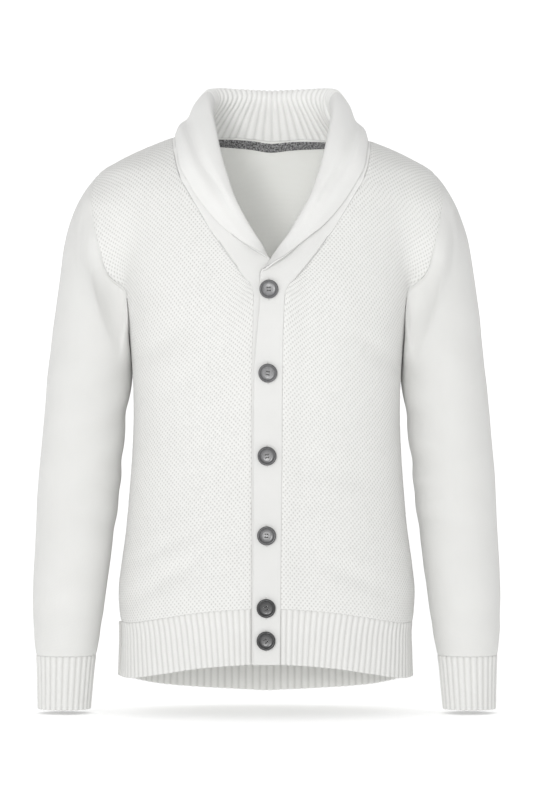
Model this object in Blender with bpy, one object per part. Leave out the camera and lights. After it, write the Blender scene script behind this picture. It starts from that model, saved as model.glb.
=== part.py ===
"""V-neck cardigan with a shawl collar, filled out as if worn: hollow knitted cloth, no wearer.

Every piece that a knitter would sew on is its own solid: two fronts, the back, two sleeves, three
hem ribs, two cuffs, two front bands that widen into the shawl collar, the ribbed back collar, the
neck tape and six buttons.  +Z is up, -Y is the front, +X is the wearer's left.  The origin is
midway between the shoulders, level with the neck seam.  Sizes below are in millimetres.
"""
import math

import bpy
import numpy as np

MM = 0.001

# Driving dimensions
BODY_WALL = 2.4           # knitted cloth of body and sleeves
BAND_WALL = 2.6           # front bands and collar
STAND_INSET = 2.0         # panels end this far short of the seam where the collar stands up from it
SEAM_GAP = 0.3            # between sewn pieces
EDGE_BARE = 0.37          # each panel edge stops this far short of its seam line
LAP_RISE = 3.4            # the left band lies this much above the right one
LAP_BLEND = 30.0          # the left front climbs to its band over this width
HEM_HEIGHT = 68.0
CUFF_TOP_Z, CUFF_BOTTOM_Z = -645.0, -711.0
UNDERARM_Z, SHOULDER_TIP_Z = -236.0, -45.0
RIDGE_PROUD, GROOVE_DEEP = 0.5, 1.1   # rib ridge and groove, from the plain surface
RIBS_FRONT, RIBS_BACK, RIBS_CUFF, RIBS_COLLAR = 30, 54, 27, 30
BUTTON_RADIUS, BUTTON_THICK = 11.6, 4.0
SLEEVE_CLEAR = 1.2        # sleeve to body where the arm hangs against it
SLEEVE_BARE = 0.85        # a sleeve starts this far out from the armhole seam
ARMHOLE_BARE = 0.89       # and the body stops this far short of it
RIB_LEAN = 0.04           # front ribs lean to the middle by this share of their panel's width
TAPE_HEIGHT, TAPE_THICK = 12.5, 1.2
BUTTON_LIFT = 0.9         # back of a button above the band
ROW_POINTS = 97           # points of a row before it is divided evenly
BACK_SHOULDER_COLS, BACK_NECK_COLS = 5, 14

# Level sections of the body: half width, depth to the front, depth to the back, squareness
TORSO_COLUMNS = ("z", "half_width", "front", "back", "power")
TORSO = (
    (24, 80, 38, 76, 2.0),
    (2, 114, 56, 86, 2.0),
    (-6, 134, 64, 90, 2.05),
    (-15, 156, 72, 94, 2.1),
    (-27, 181, 80, 98, 2.15),
    (-40, 202, 87, 102, 2.2),
    (-60, 210, 96, 106, 2.25),
    (-95, 206, 106, 110, 2.3),
    (-135, 194, 113, 113, 2.35),
    (-175, 183.5, 117, 113, 2.4),
    (-215, 176.5, 119, 111, 2.4),
    (-252, 171.5, 118, 107, 2.4),
    (-290, 167.5, 116, 102, 2.4),
    (-340, 166, 113, 98, 2.35),
    (-390, 167.5, 111.5, 96, 2.35),
    (-440, 171, 112, 98, 2.35),
    (-490, 175.5, 114, 102, 2.4),
    (-530, 181, 116.5, 106, 2.4),
    (-565, 184.5, 118.5, 108, 2.4),
    (-590, 183.5, 118, 107.5, 2.4),
    (-612, 181, 117, 106.5, 2.4),
    (-645, 181.5, 118, 107.5, 2.4),
    (-675, 182.5, 119, 108.5, 2.4),
    (-705, 182.5, 120, 109, 2.4),
)

# Level sections of the arm in its sleeve: centre, half width, half depth
ARM_COLUMNS = ("z", "x", "y", "half_width", "half_depth")
ARM = (
    (-95, 180, 0, 59.5, 63),
    (-125, 191, 1, 59.5, 63),
    (-165, 199.5, 3, 58, 62),
    (-215, 209, 5, 56, 60),
    (-265, 216.5, 7, 54.5, 58),
    (-315, 222.6, 8, 53.2, 56),
    (-365, 228.3, 8, 52.4, 54),
    (-415, 232.8, 6, 52.2, 52),
    (-465, 237.0, 3, 50.6, 50),
    (-515, 241.6, -2, 48.3, 48),
    (-565, 245.8, -8, 46.0, 46),
    (-605, 248.0, -13, 43.2, 43.5),
    (-628, 249.2, -16, 40.2, 41),
    (-646, 249.8, -19, 37.2, 38),
    (-680, 250.8, -24, 34.6, 35.5),
    (-715, 251.8, -29, 32.6, 34),
)
ARM_PARTS_Z = -125.0      # below this the arm hangs apart from the body
ARM_PARTS_OVER = 180.0    # it comes away over this height
ARM_PARTS_BY = 70.0       # until it no longer shapes the body
ARM_DOME_RISE = 50.0      # the shoulder end of the arm is a dome this high
SHOULDER_BLEND = 20.0     # arm and body run together over about this width

# Armhole seam seen from the front: how far out it runs at each height
ARMHOLE_COLUMNS = ("z", "x")
ARMHOLE = (
    (-45, 213), (-65, 218), (-90, 216.5), (-115, 213), (-140, 207),
    (-165, 200), (-190, 190.5), (-213, 181), (-236, 174.5),
)
ARMHOLE_HALF_DEPTH = 60.0

# The collar and bands sit a little to the wearer's left of the body's middle
SHIFT_COLUMNS = ("z", "x")
SHIFT = ((60, 6.5), (-100, 6.5), (-158, 5.5), (-193, 3.4), (-250, 1.4), (-400, 0.2), (-660, -1.2))

# Lowest edge of the hem at each share of the way round from the middle of the front to the back
HEM_COLUMNS = ("angle", "z")
HEM_LEVELS = (
    (0, -649.5), (0.12, -655.5), (0.24, -664.5), (0.36, -671), (0.50, -671.5),
    (0.62, -677.5), (0.76, -688), (1.0, -698.5),
)
HEM_SEAM_Z = -620.0       # hem and bands meet along a line upright through this height

# Front bands below the collar: seam, and free edge past the middle, at each height
BAND_COLUMNS = ("z", "seam", "edge")
BAND = (
    (-651, 17.5, -15.8),
    (-581, 17.8, -16.0),
    (-460, 18.4, -16.3),
    (-330, 18.8, -16.3),
    (-270, 18.8, -15.2),
    (-225, 18.8, -12.4),
    (-198, 19.5, -11.2),
)

# Collar stations from the top button round to the middle of the back neck.  The seam lies on the
# body, the roll is the innermost line of the fold, and the edge is the free edge of the fall.
# Heights stand out from the line between roll and edge; the crease lies part way along it.
COLLAR_COLUMNS = (
    "seam_x", "seam_y", "seam_z", "roll_x", "roll_y", "roll_z", "edge_x", "edge_y", "edge_z",
    "crest", "bulge", "crease_at", "crease", "fall", "hug",
)
COLLAR = (
    (24, -121, -186, -11.5, -121, -172, -11.5, -121, -172, 0, 0, 0.40, 0, 0, 1),
    (34, -119, -176, 0, -122, -158, 2.5, -128, -161, 2, 2, 0.40, 1.5, 1, 1),
    (44, -117, -163, 11, -121, -144, 19, -127, -150.5, 4, 4, 0.40, 3.6, 2.5, 1),
    (60, -113, -142, 24.3, -118, -124, 40, -123, -133, 5, 6, 0.35, 5.5, 4, 1),
    (77, -107, -117, 36.6, -112, -103, 64.5, -116, -112, 5.5, 8, 0.30, 7.5, 6, 1),
    (94, -96, -88, 48.3, -103, -80, 87, -106, -85.5, 6, 10, 0.24, 8, 8, 1),
    (111, -79, -59, 58.3, -88, -55, 104.5, -89, -57.5, 8, 12, 0.37, 8, 9.5, 1),
    (117, -66, -41, 65, -74, -36, 113.5, -76, -38.5, 10, 13.5, 0.48, 8.5, 10, 1),
    (121, -48, -21, 71.2, -54, -13, 117, -57, -19, 13, 15, 0.56, 8, 10, 1),
    (123, -24, -8, 74, -27, 18, 119.5, -31, -4, 14, 14, 0.60, 7, 8.5, 1),
    (122, 2, 0, 72.5, 2, 44, 121, 2, 6, 14.5, 13.5, 0.62, 5.5, 6.5, 1),
    (109, 40, 5, 66, 35, 52, 109, 52, -3, 14.5, 15.5, 0.58, 8, 8, 0.7),
    (82, 68, 10.5, 46, 61, 55, 79, 86, -10, 16, 17, 0.54, 11, 9.5, 0.3),
    (44, 81, 7, 23, 73, 57, 41, 101, -16, 15, 17, 0.50, 12.5, 10, 0.1),
    (0, 86, 1, 0, 77, 57, 0, 106, -18, 15, 17, 0.50, 13, 10, 0),
)
SHOULDER_STATION = 10     # where the shoulder seam meets the collar
COLLAR_JOINT = 10         # station where the plain shawl meets the ribbed back collar, at the shoulder
FALL_CLEAR = 2.2          # the fall's middle surface above the body
MM_PER_STATION = 24.0     # least length of seam between two stations past the joint
UNDER_FALL_FROM = 0.6     # the right collar starts to turn over at this station

# Buttons: height of each on the left band, and its place across
BUTTON_COLUMNS = ("z", "x")
BUTTONS = (
    (-192.5, 2.6), (-294.5, 1.3), (-396.0, 0.3), (-493.5, -0.2), (-581.5, -0.8), (-621.5, -0.9),
)

# Soft creases of the body: place on the front (face -1) or back, half length, half height, slant, depth
FOLD_COLUMNS = ("face", "x", "z", "half_length", "half_height", "slant", "depth")
BODY_FOLDS = (
    (-1, -122, -545, 52, 13, 0.62, 3.0),
    (-1, -128, -508, 38, 11, 0.50, 1.8),
    (-1, -138, -262, 34, 15, 0.55, 2.2),
    (-1, -96, -300, 40, 14, 0.45, 1.4),
    (-1, 140, -268, 34, 15, -0.60, 2.2),
    (-1, 118, -548, 44, 13, -0.42, 2.0),
    (-1, 96, -420, 48, 16, -0.25, 1.3),
    (1, -120, -290, 50, 16, 0.50, 2.6),
    (1, 112, -300, 46, 15, -0.55, 2.4),
    (1, -60, -440, 70, 18, 0.12, 2.6),
    (1, 74, -470, 62, 16, -0.16, 2.4),
    (1, -96, -545, 48, 14, 0.30, 2.2),
    (1, 20, -385, 84, 20, 0.05, 2.0),
)

# Soft creases of the sleeve: height, turn round the arm, how tall and wide, slant, depth
CREASE_COLUMNS = ("z", "turn", "half_height", "half_turn", "slant", "depth")
SLEEVE_CREASES = (
    (-300, 0.36, 16, 0.13, 110, 3.0),
    (-352, 0.40, 14, 0.15, 90, 3.2),
    (-408, 0.42, 13, 0.16, 60, 3.4),
    (-438, 0.38, 12, 0.14, -40, 2.8),
    (-480, 0.40, 13, 0.14, -70, 2.4),
    (-360, 0.66, 15, 0.13, -90, 2.6),
    (-425, 0.70, 14, 0.14, -60, 2.6),
    (-590, 0.22, 10, 0.20, 30, 1.8),
    (-612, 0.72, 10, 0.22, -25, 2.0),
    (-250, 0.12, 22, 0.10, 140, 1.6),
)

KNIT_WHITE, RIB_WHITE = (0.86, 0.86, 0.84), (0.84, 0.84, 0.82)
TAPE_GREY, HORN_GREY = (0.17, 0.17, 0.17), (0.12, 0.12, 0.125)


# ---------------------------------------------------------------- curves and tables
def column(table, columns, name):
    """One named column of a table."""
    return np.array([row[columns.index(name)] for row in table], float)


def smooth(at, knots, values):
    """Cubic through the knots, held level past both ends."""
    order = np.argsort(knots)
    k, v = np.asarray(knots, float)[order], np.asarray(values, float)[order]
    step, rise = np.diff(k), np.diff(v) / np.diff(k)
    slope = np.zeros(len(k))
    slope[1:-1] = (rise[:-1] * step[1:] + rise[1:] * step[:-1]) / (step[1:] + step[:-1])
    slope[0], slope[-1] = rise[0], rise[-1]
    x = np.clip(at, k[0], k[-1])
    i = np.clip(np.searchsorted(k, x, side="right") - 1, 0, len(k) - 2)
    h = step[i]
    t = (x - k[i]) / h
    return (
        v[i] * (1 + 2 * t) * (1 - t) ** 2
        + slope[i] * h * t * (1 - t) ** 2
        + v[i + 1] * t * t * (3 - 2 * t)
        + slope[i + 1] * h * t * t * (t - 1)
    )


def reader(table, columns, key):
    """A function that gives one named column at any value of the key column."""
    keys = column(table, columns, key)
    return lambda name, at: smooth(at, keys, column(table, columns, name))


torso = reader(TORSO, TORSO_COLUMNS, "z")
arm = reader(ARM, ARM_COLUMNS, "z")
armhole_x = reader(ARMHOLE, ARMHOLE_COLUMNS, "z")
shift_x = reader(SHIFT, SHIFT_COLUMNS, "z")
band = reader(BAND, BAND_COLUMNS, "z")


def collar(name, station):
    """A column of the collar table at any station, whole or between two."""
    values = column(COLLAR, COLLAR_COLUMNS, name)
    return smooth(station, np.arange(len(values)), values)


def ease(t):
    """From 0 to 1 with level ends."""
    t = np.clip(t, 0, 1)
    return t * t * (3 - 2 * t)


def unit(v):
    """Vectors at length 1."""
    return v / np.maximum(np.linalg.norm(v, axis=-1, keepdims=True), 1e-9)


def spread(line, count, start=0.0, end=0.0):
    """count + 1 points evenly along a line of points, leaving start and end millimetres bare."""
    length = np.concatenate([[0], np.cumsum(np.linalg.norm(np.diff(line, axis=0), axis=1))])
    at = np.linspace(start, length[-1] - end, count + 1)
    return np.stack([np.interp(at, length, line[:, k]) for k in range(3)], axis=1)


def through(points, per_span):
    """A smooth line through a few points, with per_span steps between each two."""
    p = np.vstack([2 * points[0] - points[1], points, 2 * points[-1] - points[-2]])
    reach = np.maximum(np.linalg.norm(np.diff(p, axis=0), axis=1), 1e-6) ** 0.5
    knot = np.concatenate([[0], np.cumsum(reach)])
    line = []
    for i in range(1, len(p) - 2):
        for t in knot[i] + (knot[i + 1] - knot[i]) * np.arange(per_span) / per_span:
            a = [
                p[j] + (p[j + 1] - p[j]) * (t - knot[j]) / (knot[j + 1] - knot[j])
                for j in (i - 1, i, i + 1)
            ]
            b = [
                a[j] + (a[j + 1] - a[j]) * (t - knot[i - 1 + j]) / (knot[i + 1 + j] - knot[i - 1 + j])
                for j in (0, 1)
            ]
            line.append(b[0] + (b[1] - b[0]) * (t - knot[i]) / (knot[i + 1] - knot[i]))
    line.append(points[-1])
    return np.array(line)


# ---------------------------------------------------------------- the filled-out form
def torso_field(p):
    """Level distance of each point from the body's surface, negative inside."""
    x, y, z = p[..., 0], p[..., 1], p[..., 2]
    depth = np.where(y < 0, torso("front", z), torso("back", z))
    n = torso("power", z)
    share = ((np.abs(x) / torso("half_width", z)) ** n + (np.abs(y) / depth) ** n) ** (1 / n)
    return np.hypot(x, y) * (1 - 1 / np.maximum(share, 1e-3))


def arm_field(p):
    """Level distance of each point from the nearer arm's surface."""
    x, y, z = np.abs(p[..., 0]), p[..., 1], p[..., 2]
    top = ARM[0][0]
    low = np.minimum(z, top)
    up = np.maximum(z - top, 0) / ARM_DOME_RISE
    dx, dy = x - arm("x", low), y - arm("y", low)
    half_width, half_depth = arm("half_width", low), arm("half_depth", low)
    share = np.sqrt((dx / half_width) ** 2 + (dy / half_depth) ** 2 + up**2)
    return (share - 1) * half_width


def form_field(p):
    """Body and arms as one form at the shoulders; below the armhole's middle the body alone."""
    body = torso_field(p)
    apart = ARM_PARTS_BY * ease((ARM_PARTS_Z - p[..., 2]) / ARM_PARTS_OVER)
    limb = arm_field(p) + apart
    width = SHOULDER_BLEND
    h = np.clip(0.5 + 0.5 * (limb - body) / width, 0, 1)
    return limb * (1 - h) + body * h - width * h * (1 - h)


def slope_of(field, p):
    """Gradient of a field at each point."""
    step = 0.4
    axes = np.eye(3) * step
    return np.stack([(field(p + a) - field(p - a)) / (2 * step) for a in axes], axis=-1)


def settle(field, p, level=0.0, rounds=10):
    """Moves points to where the field has that level: level across low down, along its slope at the top."""
    p = np.array(p, float)
    for _ in range(rounds):
        g = slope_of(field, p)
        g[..., 2] *= ease((p[..., 2] + 150) / 80)
        steepness = np.maximum((g * g).sum(-1), 0.05)
        step = ((field(p) - level) / steepness)[..., None] * g
        size = np.linalg.norm(step, axis=-1, keepdims=True)
        p = p - step * np.minimum(1, 12 / np.maximum(size, 1e-9))
    return p


def on_torso(angle, z):
    """The body's surface: angle 0 is the middle of the front, pi the middle of the back."""
    n = torso("power", z)
    s, c = np.sin(angle), np.cos(angle)
    depth = np.where(c > 0, torso("front", z), torso("back", z))
    x = torso("half_width", z) * np.sign(s) * np.abs(s) ** (2 / n)
    y = -depth * np.sign(c) * np.abs(c) ** (2 / n)
    return np.stack([x, y, z + 0 * x], axis=-1)


def angle_of(p):
    """The angle of on_torso for points on or near the surface."""
    x, y, z = p[..., 0], p[..., 1], p[..., 2]
    n = torso("power", z)
    depth = np.where(y < 0, torso("front", z), torso("back", z))
    s = (np.abs(x) / torso("half_width", z)) ** (n / 2)
    c = (np.abs(y) / depth) ** (n / 2)
    return np.where(y < 0, np.arctan2(s, c), math.pi - np.arctan2(s, c)) * np.sign(x)


def front_y(x, z):
    """How far forward the body's front lies at x and z."""
    n = torso("power", z)
    inside = np.maximum(1 - (np.abs(x) / torso("half_width", z)) ** n, 0)
    return -torso("front", z) * inside ** (1 / n)


# ---------------------------------------------------------------- seam lines
SEAM_STOPS = {}


def armhole(turn, side):
    """Armhole seam: turn 0 is the shoulder tip, 0.25 the front, 0.5 the underarm, 0.75 the back."""
    middle = (SHOULDER_TIP_Z + UNDERARM_Z) / 2
    rise = (SHOULDER_TIP_Z - UNDERARM_Z) / 2
    a = 2 * math.pi * np.asarray(turn, float)
    z = middle + rise * np.cos(a)
    y = -ARMHOLE_HALF_DEPTH * np.sin(a) * (1 - 0.10 * np.cos(a))
    guess = np.stack([side * armhole_x("x", z), y, z], axis=-1)
    seam = guess.copy()
    for _ in range(12):
        g = slope_of(form_field, seam)
        g[..., 2] = 0
        size = np.maximum((g * g).sum(-1), 0.05)
        seam = seam - np.clip(form_field(seam) / size, -8, 8)[..., None] * g
    return seam


def neck_seam_stops(side):
    """Whole stations of the collar seam, on the body."""
    station = np.arange(len(COLLAR))
    z = collar("seam_z", station)
    x = side * collar("seam_x", station) + shift_x("x", z)
    return settle(form_field, np.stack([x, collar("seam_y", station), z], axis=-1))


def neck_seam(station, side):
    """Seam of collar and body, from the top button round to the middle of the back neck."""
    stops = SEAM_STOPS.setdefault(side, None)
    if stops is None:
        stops = SEAM_STOPS[side] = neck_seam_stops(side)
    at = np.arange(len(stops))
    return np.stack([np.interp(station, at, stops[:, k]) for k in range(3)], axis=-1)


def shoulder_seam(side, count):
    """From the collar seam out to the shoulder tip."""
    start, end = neck_seam(SHOULDER_STATION, side), armhole(np.array([0.0]), side)[0]
    t = np.linspace(0, 1, 25)[:, None]
    return spread(settle(form_field, start + (end - start) * t), count)


def band_seam(z, side):
    """Seam of front and band at one height."""
    x = side * band("seam", z) + shift_x("x", z)
    return np.stack([x, front_y(x, z), z + 0 * x], axis=-1)


def hem_z(angle):
    """Lowest edge of the hem: highest at the middle of the front, lowest at the back."""
    a = np.abs(angle) / math.pi
    return smooth(a, column(HEM_LEVELS, HEM_COLUMNS, "angle"), column(HEM_LEVELS, HEM_COLUMNS, "z"))


def rib_top_z(angle):
    """Seam of body and hem rib."""
    return hem_z(angle) + HEM_HEIGHT


# ---------------------------------------------------------------- solids from grids of points
def faces_of_sheet(grid, wrap, flip, base):
    """Triangles over a grid of points, each four-sided cell cut along its shorter diagonal."""
    rows, cols = grid.shape[:2]
    faces = []
    for i in range(rows - 1):
        for j in range(cols if wrap else cols - 1):
            k = (j + 1) % cols
            a, b, c, d = (i, j), (i, k), (i + 1, k), (i + 1, j)
            if np.linalg.norm(grid[a] - grid[c]) <= np.linalg.norm(grid[b] - grid[d]):
                pair = ((a, b, c), (a, c, d))
            else:
                pair = ((a, b, d), (b, c, d))
            for three in pair:
                face = tuple(base + row * cols + col for row, col in three)
                faces.append(face[::-1] if flip else face)
    return faces


def stitch(many, few, flip):
    """Faces that close the rim between two lines of points, many and few of them."""
    faces, ratio = [], (len(many) - 1) // (len(few) - 1)
    for j in range(len(few) - 1):
        a, b = few[j], few[j + 1]
        run = many[j * ratio:(j + 1) * ratio + 1]
        half = len(run) // 2
        for i in range(ratio):
            faces.append((run[i], run[i + 1], a if i < half else b))
        faces.append((a, run[half], b))
    return [f[::-1] for f in faces] if flip else faces


def wall(name, outer, inner, colour, wrap=False):
    """One closed solid between an outer and an inner grid of points with equal rows."""
    rows, many, few = outer.shape[0], outer.shape[1], inner.shape[1]
    base = rows * many
    points = np.vstack([outer.reshape(-1, 3), inner.reshape(-1, 3)])
    faces = faces_of_sheet(outer, wrap, False, 0)
    faces += faces_of_sheet(inner, wrap, True, base)
    for row, flip in ((0, True), (rows - 1, False)):
        long_line = [row * many + j for j in range(many)]
        short_line = [base + row * few + j for j in range(few)]
        if wrap:
            long_line, short_line = long_line + long_line[:1], short_line + short_line[:1]
        faces += stitch(long_line, short_line, flip)
    if not wrap:
        for outer_col, inner_col, flip in ((0, 0, False), (many - 1, few - 1, True)):
            for i in range(rows - 1):
                a, b = i * many + outer_col, (i + 1) * many + outer_col
                c, d = base + (i + 1) * few + inner_col, base + i * few + inner_col
                faces.append((d, c, b, a) if flip else (a, b, c, d))
    return solid(name, points, faces, colour)


def solid(name, points, faces, colour, roughness=0.9):
    """An object from points in millimetres, its faces turned out."""
    mesh = bpy.data.meshes.new(name)
    mesh.from_pydata((points * MM).tolist(), [], faces)
    mesh.update()
    corners = np.array([[v.co[k] for k in range(3)] for v in mesh.vertices])
    mesh.calc_loop_triangles()
    tri = np.array([t.vertices[:] for t in mesh.loop_triangles])
    a, b, c = corners[tri[:, 0]], corners[tri[:, 1]], corners[tri[:, 2]]
    if np.einsum("ij,ij->i", a, np.cross(b, c)).sum() < 0:
        mesh.flip_normals()
    obj = bpy.data.objects.new(name, mesh)
    bpy.context.scene.collection.objects.link(obj)
    mesh.materials.append(material(colour, roughness))
    mesh.shade_smooth()
    mesh.set_sharp_from_angle(angle=math.radians(50))
    return obj


def material(colour, roughness):
    """One finish for each colour."""
    name = "finish_%02d_%02d_%02d" % tuple(round(99 * c) for c in colour)
    found = bpy.data.materials.get(name)
    if found is None:
        found = bpy.data.materials.new(name)
        found.use_nodes = True
        shader = found.node_tree.nodes["Principled BSDF"]
        shader.inputs["Base Color"].default_value = (*colour, 1)
        shader.inputs["Roughness"].default_value = roughness
        shader.inputs["Metallic"].default_value = 0
    return found


def grid_normals(grid, wrap=False):
    """Normals of a grid of points, from its neighbours."""
    down = np.gradient(grid, axis=0)
    if wrap:
        across = np.roll(grid, -1, axis=1) - np.roll(grid, 1, axis=1)
    else:
        across = np.gradient(grid, axis=1)
    return unit(np.cross(across, down))


# ---------------------------------------------------------------- body panels
def lap_level(p, side):
    """The left front and its hem climb to the left band, which laps over the right one."""
    if side < 0:
        return np.zeros(p.shape[:-1])
    z = p[..., 2]
    near = ease(1 - (p[..., 0] - shift_x("x", z) - band("seam", z)) / LAP_BLEND)
    return LAP_RISE * near * ease((-150 - z) / 50)


def panel_row(start, end, cols, bare, droop):
    """One row of a body panel, from start to end over the filled-out form."""
    t = np.linspace(0, 1, ROW_POINTS)
    low, high = angle_of(start), angle_of(end)
    angle = low + (high - low) * t
    z = start[2] + (end[2] - start[2]) * t + droop * curl_of(angle)
    line = settle(form_field, on_torso(angle, z), rounds=6)
    line += (1 - t)[:, None] * (start - line[0]) + t[:, None] * (end - line[-1])
    return spread(line, cols, bare, EDGE_BARE if droop else ARMHOLE_BARE)


def curl_of(angle):
    """How far the top of the hem rib departs from a straight line between its two ends."""
    rib = rib_top_z(angle)
    return rib - rib[0] - (rib[-1] - rib[0]) * np.linspace(0, 1, len(angle))


def stand_inset(station):
    """Bare strip of a panel beside the collar seam: more where the collar stands up from it."""
    return EDGE_BARE + STAND_INSET * float(ease((station - 4.5) / 4))


def relaxed(grid, rounds=12):
    """The grid with its inner points evened out over the form, and its edges as they were."""
    for _ in range(rounds):
        middle = (grid[:-2, 1:-1] + grid[2:, 1:-1] + grid[1:-1, :-2] + grid[1:-1, 2:]) / 4
        grid[1:-1, 1:-1] = settle(form_field, middle, rounds=3)
    return grid


def fold_depth(p):
    """How far the creases draw the body in at each point."""
    total = np.zeros(p.shape[:-1])
    for face, x, z, half_length, half_height, slant, depth in BODY_FOLDS:
        beside = p[..., 0] - x
        along = np.exp(-((beside / half_length) ** 2))
        across = np.exp(-(((p[..., 2] - z - slant * beside) / half_height) ** 2))
        total += depth * along * across * (p[..., 1] * face > 0)
    return total * ease((np.abs(p[..., 1]) - 10) / 40)


def creased(grid, normals):
    """The grid with the body's folds, its edges as they were."""
    drawn = grid - normals * fold_depth(grid)[..., None]
    drawn[[0, -1]] = grid[[0, -1]]
    drawn[:, [0, -1]] = grid[:, [0, -1]]
    return drawn


def raised(grid, side):
    """The grid with the lap's rise, and its outward normals."""
    normals = side * grid_normals(grid)
    grid = creased(grid, normals) + lap_level(grid, side)[..., None] * normals
    return grid, side * grid_normals(grid)


def front_edges(side, below):
    """Inner and outer edges of a front from its hem rib up to the shoulder, and each row's station."""
    low_in = np.linspace(rib_top_z(0.1), BAND[-1][0], below)
    low_out = np.linspace(rib_top_z(math.pi / 2), UNDERARM_Z, below + 1)[:-1]
    stations = np.arange(SHOULDER_STATION)
    turns = 0.5 * (1 - stations / SHOULDER_STATION)
    inner = [band_seam(z, side) for z in low_in] + list(neck_seam(stations, side))
    outer = [np.array([side * torso("half_width", z), 0.0, z]) for z in low_out]
    return inner, outer + list(armhole(turns, side)), [0] * below + list(stations)


def build_front(name, side, cols=11, below=10):
    """A front from its hem rib to the shoulder, and from band to side seam and armhole."""
    inner, outer, stations = front_edges(side, below)
    fades = np.clip(1 - np.arange(len(inner)) / below, 0, 1)
    rows = [
        panel_row(a, b, cols, stand_inset(s), fade)
        for a, b, s, fade in zip(inner, outer, stations, fades)
    ]
    rows.append(spread(shoulder_seam(side, 40), cols, stand_inset(SHOULDER_STATION), EDGE_BARE))
    grid, normals = raised(relaxed(trim_rows(np.array(rows))), side)
    return wall(name, grid, grid - normals * BODY_WALL, KNIT_WHITE)


def trim_rows(grid):
    """Draws the first and last rows in from their seam lines."""
    for end, nxt in ((0, 1), (-1, -2)):
        grid[end] += unit(grid[nxt] - grid[end]) * EDGE_BARE
    return grid


def patch(bottom, top, left, right):
    """Points inside four edge lines, blended from all of them."""
    s = np.linspace(0, 1, len(left))[:, None, None]
    u = np.linspace(0, 1, len(bottom))[None, :, None]
    corners = (
        (1 - s) * ((1 - u) * bottom[0] + u * bottom[-1])
        + s * ((1 - u) * top[0] + u * top[-1])
    )
    return (1 - s) * bottom[None] + s * top[None] + (1 - u) * left[:, None] + u * right[:, None] - corners


def back_level(z, sag, cols):
    """A row across the back from side seam to side seam, hanging by sag in the middle."""
    t = np.linspace(0, 1, ROW_POINTS)
    angle = math.pi / 2 + math.pi * t
    folded = np.where(angle > math.pi, angle - 2 * math.pi, angle)
    drop = rib_top_z(folded) - rib_top_z(math.pi / 2)
    return spread(on_torso(folded, z + sag * drop), cols, EDGE_BARE, EDGE_BARE)


def back_top(shoulder_cols, neck_cols):
    """Upper edge of the back: shoulder, neck and shoulder."""
    half = np.linspace(SHOULDER_STATION, len(COLLAR) - 1, 33)
    neck = np.vstack([neck_seam(half, 1), neck_seam(half, -1)[::-1][1:]])
    left = spread(shoulder_seam(1, 40), shoulder_cols)[::-1]
    right = spread(shoulder_seam(-1, 40), shoulder_cols)
    return np.vstack([left[:-1], spread(neck, neck_cols), right[1:]])


def back_grid(below=8, above=10):
    """Outer face of the back; its last two rows hold the neck tape."""
    cols = 2 * BACK_SHOULDER_COLS + BACK_NECK_COLS
    side_top = rib_top_z(math.pi / 2)
    shares = np.arange(below + 1) / below
    low = [back_level(side_top + (UNDERARM_Z - side_top) * s, 1 - s, cols) for s in shares]
    turns = np.linspace(0.5, 1, above + 1)
    top = back_top(BACK_SHOULDER_COLS, BACK_NECK_COLS)
    high = patch(low[-1], top, armhole(turns, 1), armhole(turns, -1))
    high[1:-1, 1:-1] = settle(form_field, high[1:-1, 1:-1])
    grid = np.vstack([np.array(low[:-1]), high])
    for edge, neighbour in ((0, 1), (-1, -2)):
        inward = unit(grid[below + 1:-1, neighbour] - grid[below + 1:-1, edge])
        grid[below + 1:-1, edge] += inward * ARMHOLE_BARE
    grid = trim_rows(grid)
    neck = slice(BACK_SHOULDER_COLS, BACK_SHOULDER_COLS + BACK_NECK_COLS + 1)
    grid[-1, neck] += unit(grid[-2, neck] - grid[-1, neck]) * STAND_INSET
    grid = relaxed(grid)
    grid = creased(grid, grid_normals(grid))
    tape_foot = grid[-1] + unit(grid[-2] - grid[-1]) * TAPE_HEIGHT
    return np.vstack([grid[:-1], tape_foot[None], grid[-1:]])


def build_back(name):
    """The back, from hem rib to shoulders."""
    grid = back_grid()
    normals = grid_normals(grid)
    return wall(name, grid, grid - normals * BODY_WALL, KNIT_WHITE)


# ---------------------------------------------------------------- ribs
def rib_profile(count, per_rib):
    """Share across, and height above the plain surface, of each point of ridges and grooves."""
    shape = {2: ((0.0, 0), (0.5, 1)), 3: ((0.0, 0), (0.24, 1), (0.76, 1))}[per_rib]
    at = [(i + share) / count for i in range(count) for share, _ in shape] + [1.0]
    ridge = np.array([high for _ in range(count) for _, high in shape] + [0], float)
    return np.array(at), ridge * (RIDGE_PROUD + GROOVE_DEEP) - GROOVE_DEEP


def hem_point(angle, down):
    """Surface of the hem rib: down 0 is its top, 1 its lower edge."""
    z = rib_top_z(angle) + (hem_z(angle) - rib_top_z(angle)) * down
    return on_torso(angle, z)


def even_angles(start, end, shares, down):
    """Angles that divide the hem between start and end by length."""
    fine = np.linspace(start, end, 400)
    folded = np.where(fine > math.pi, fine - 2 * math.pi, fine)
    line = hem_point(folded, down)
    length = np.concatenate([[0], np.cumsum(np.linalg.norm(np.diff(line, axis=0), axis=1))])
    inset = (SEAM_GAP / 2 + 0.05) / length[-1]
    at = np.interp(inset + np.asarray(shares) * (1 - 2 * inset), length / length[-1], fine)
    return np.where(at > math.pi, at - 2 * math.pi, at)


def build_hem(name, start, end, ribs, side, lean, downs=(0.006, 0.5, 1.0)):
    """A ribbed hem from one end to the other, its ribs leaning to the start as they go down."""
    def lines(shares, lift):
        made = []
        for down in downs:
            leaned = shares - lean * down * np.sin(math.pi * shares)
            p = hem_point(even_angles(start, end, leaned, down), down)
            normals = unit(slope_of(torso_field, p))
            made.append(p + (lap_level(p, side) + lift)[..., None] * normals)
        return np.array(made)

    at, height = rib_profile(ribs, 3)
    plain = np.linspace(0, 1, ribs + 1)
    return wall(name, lines(at, height), lines(plain, -BODY_WALL), RIB_WHITE)


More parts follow.
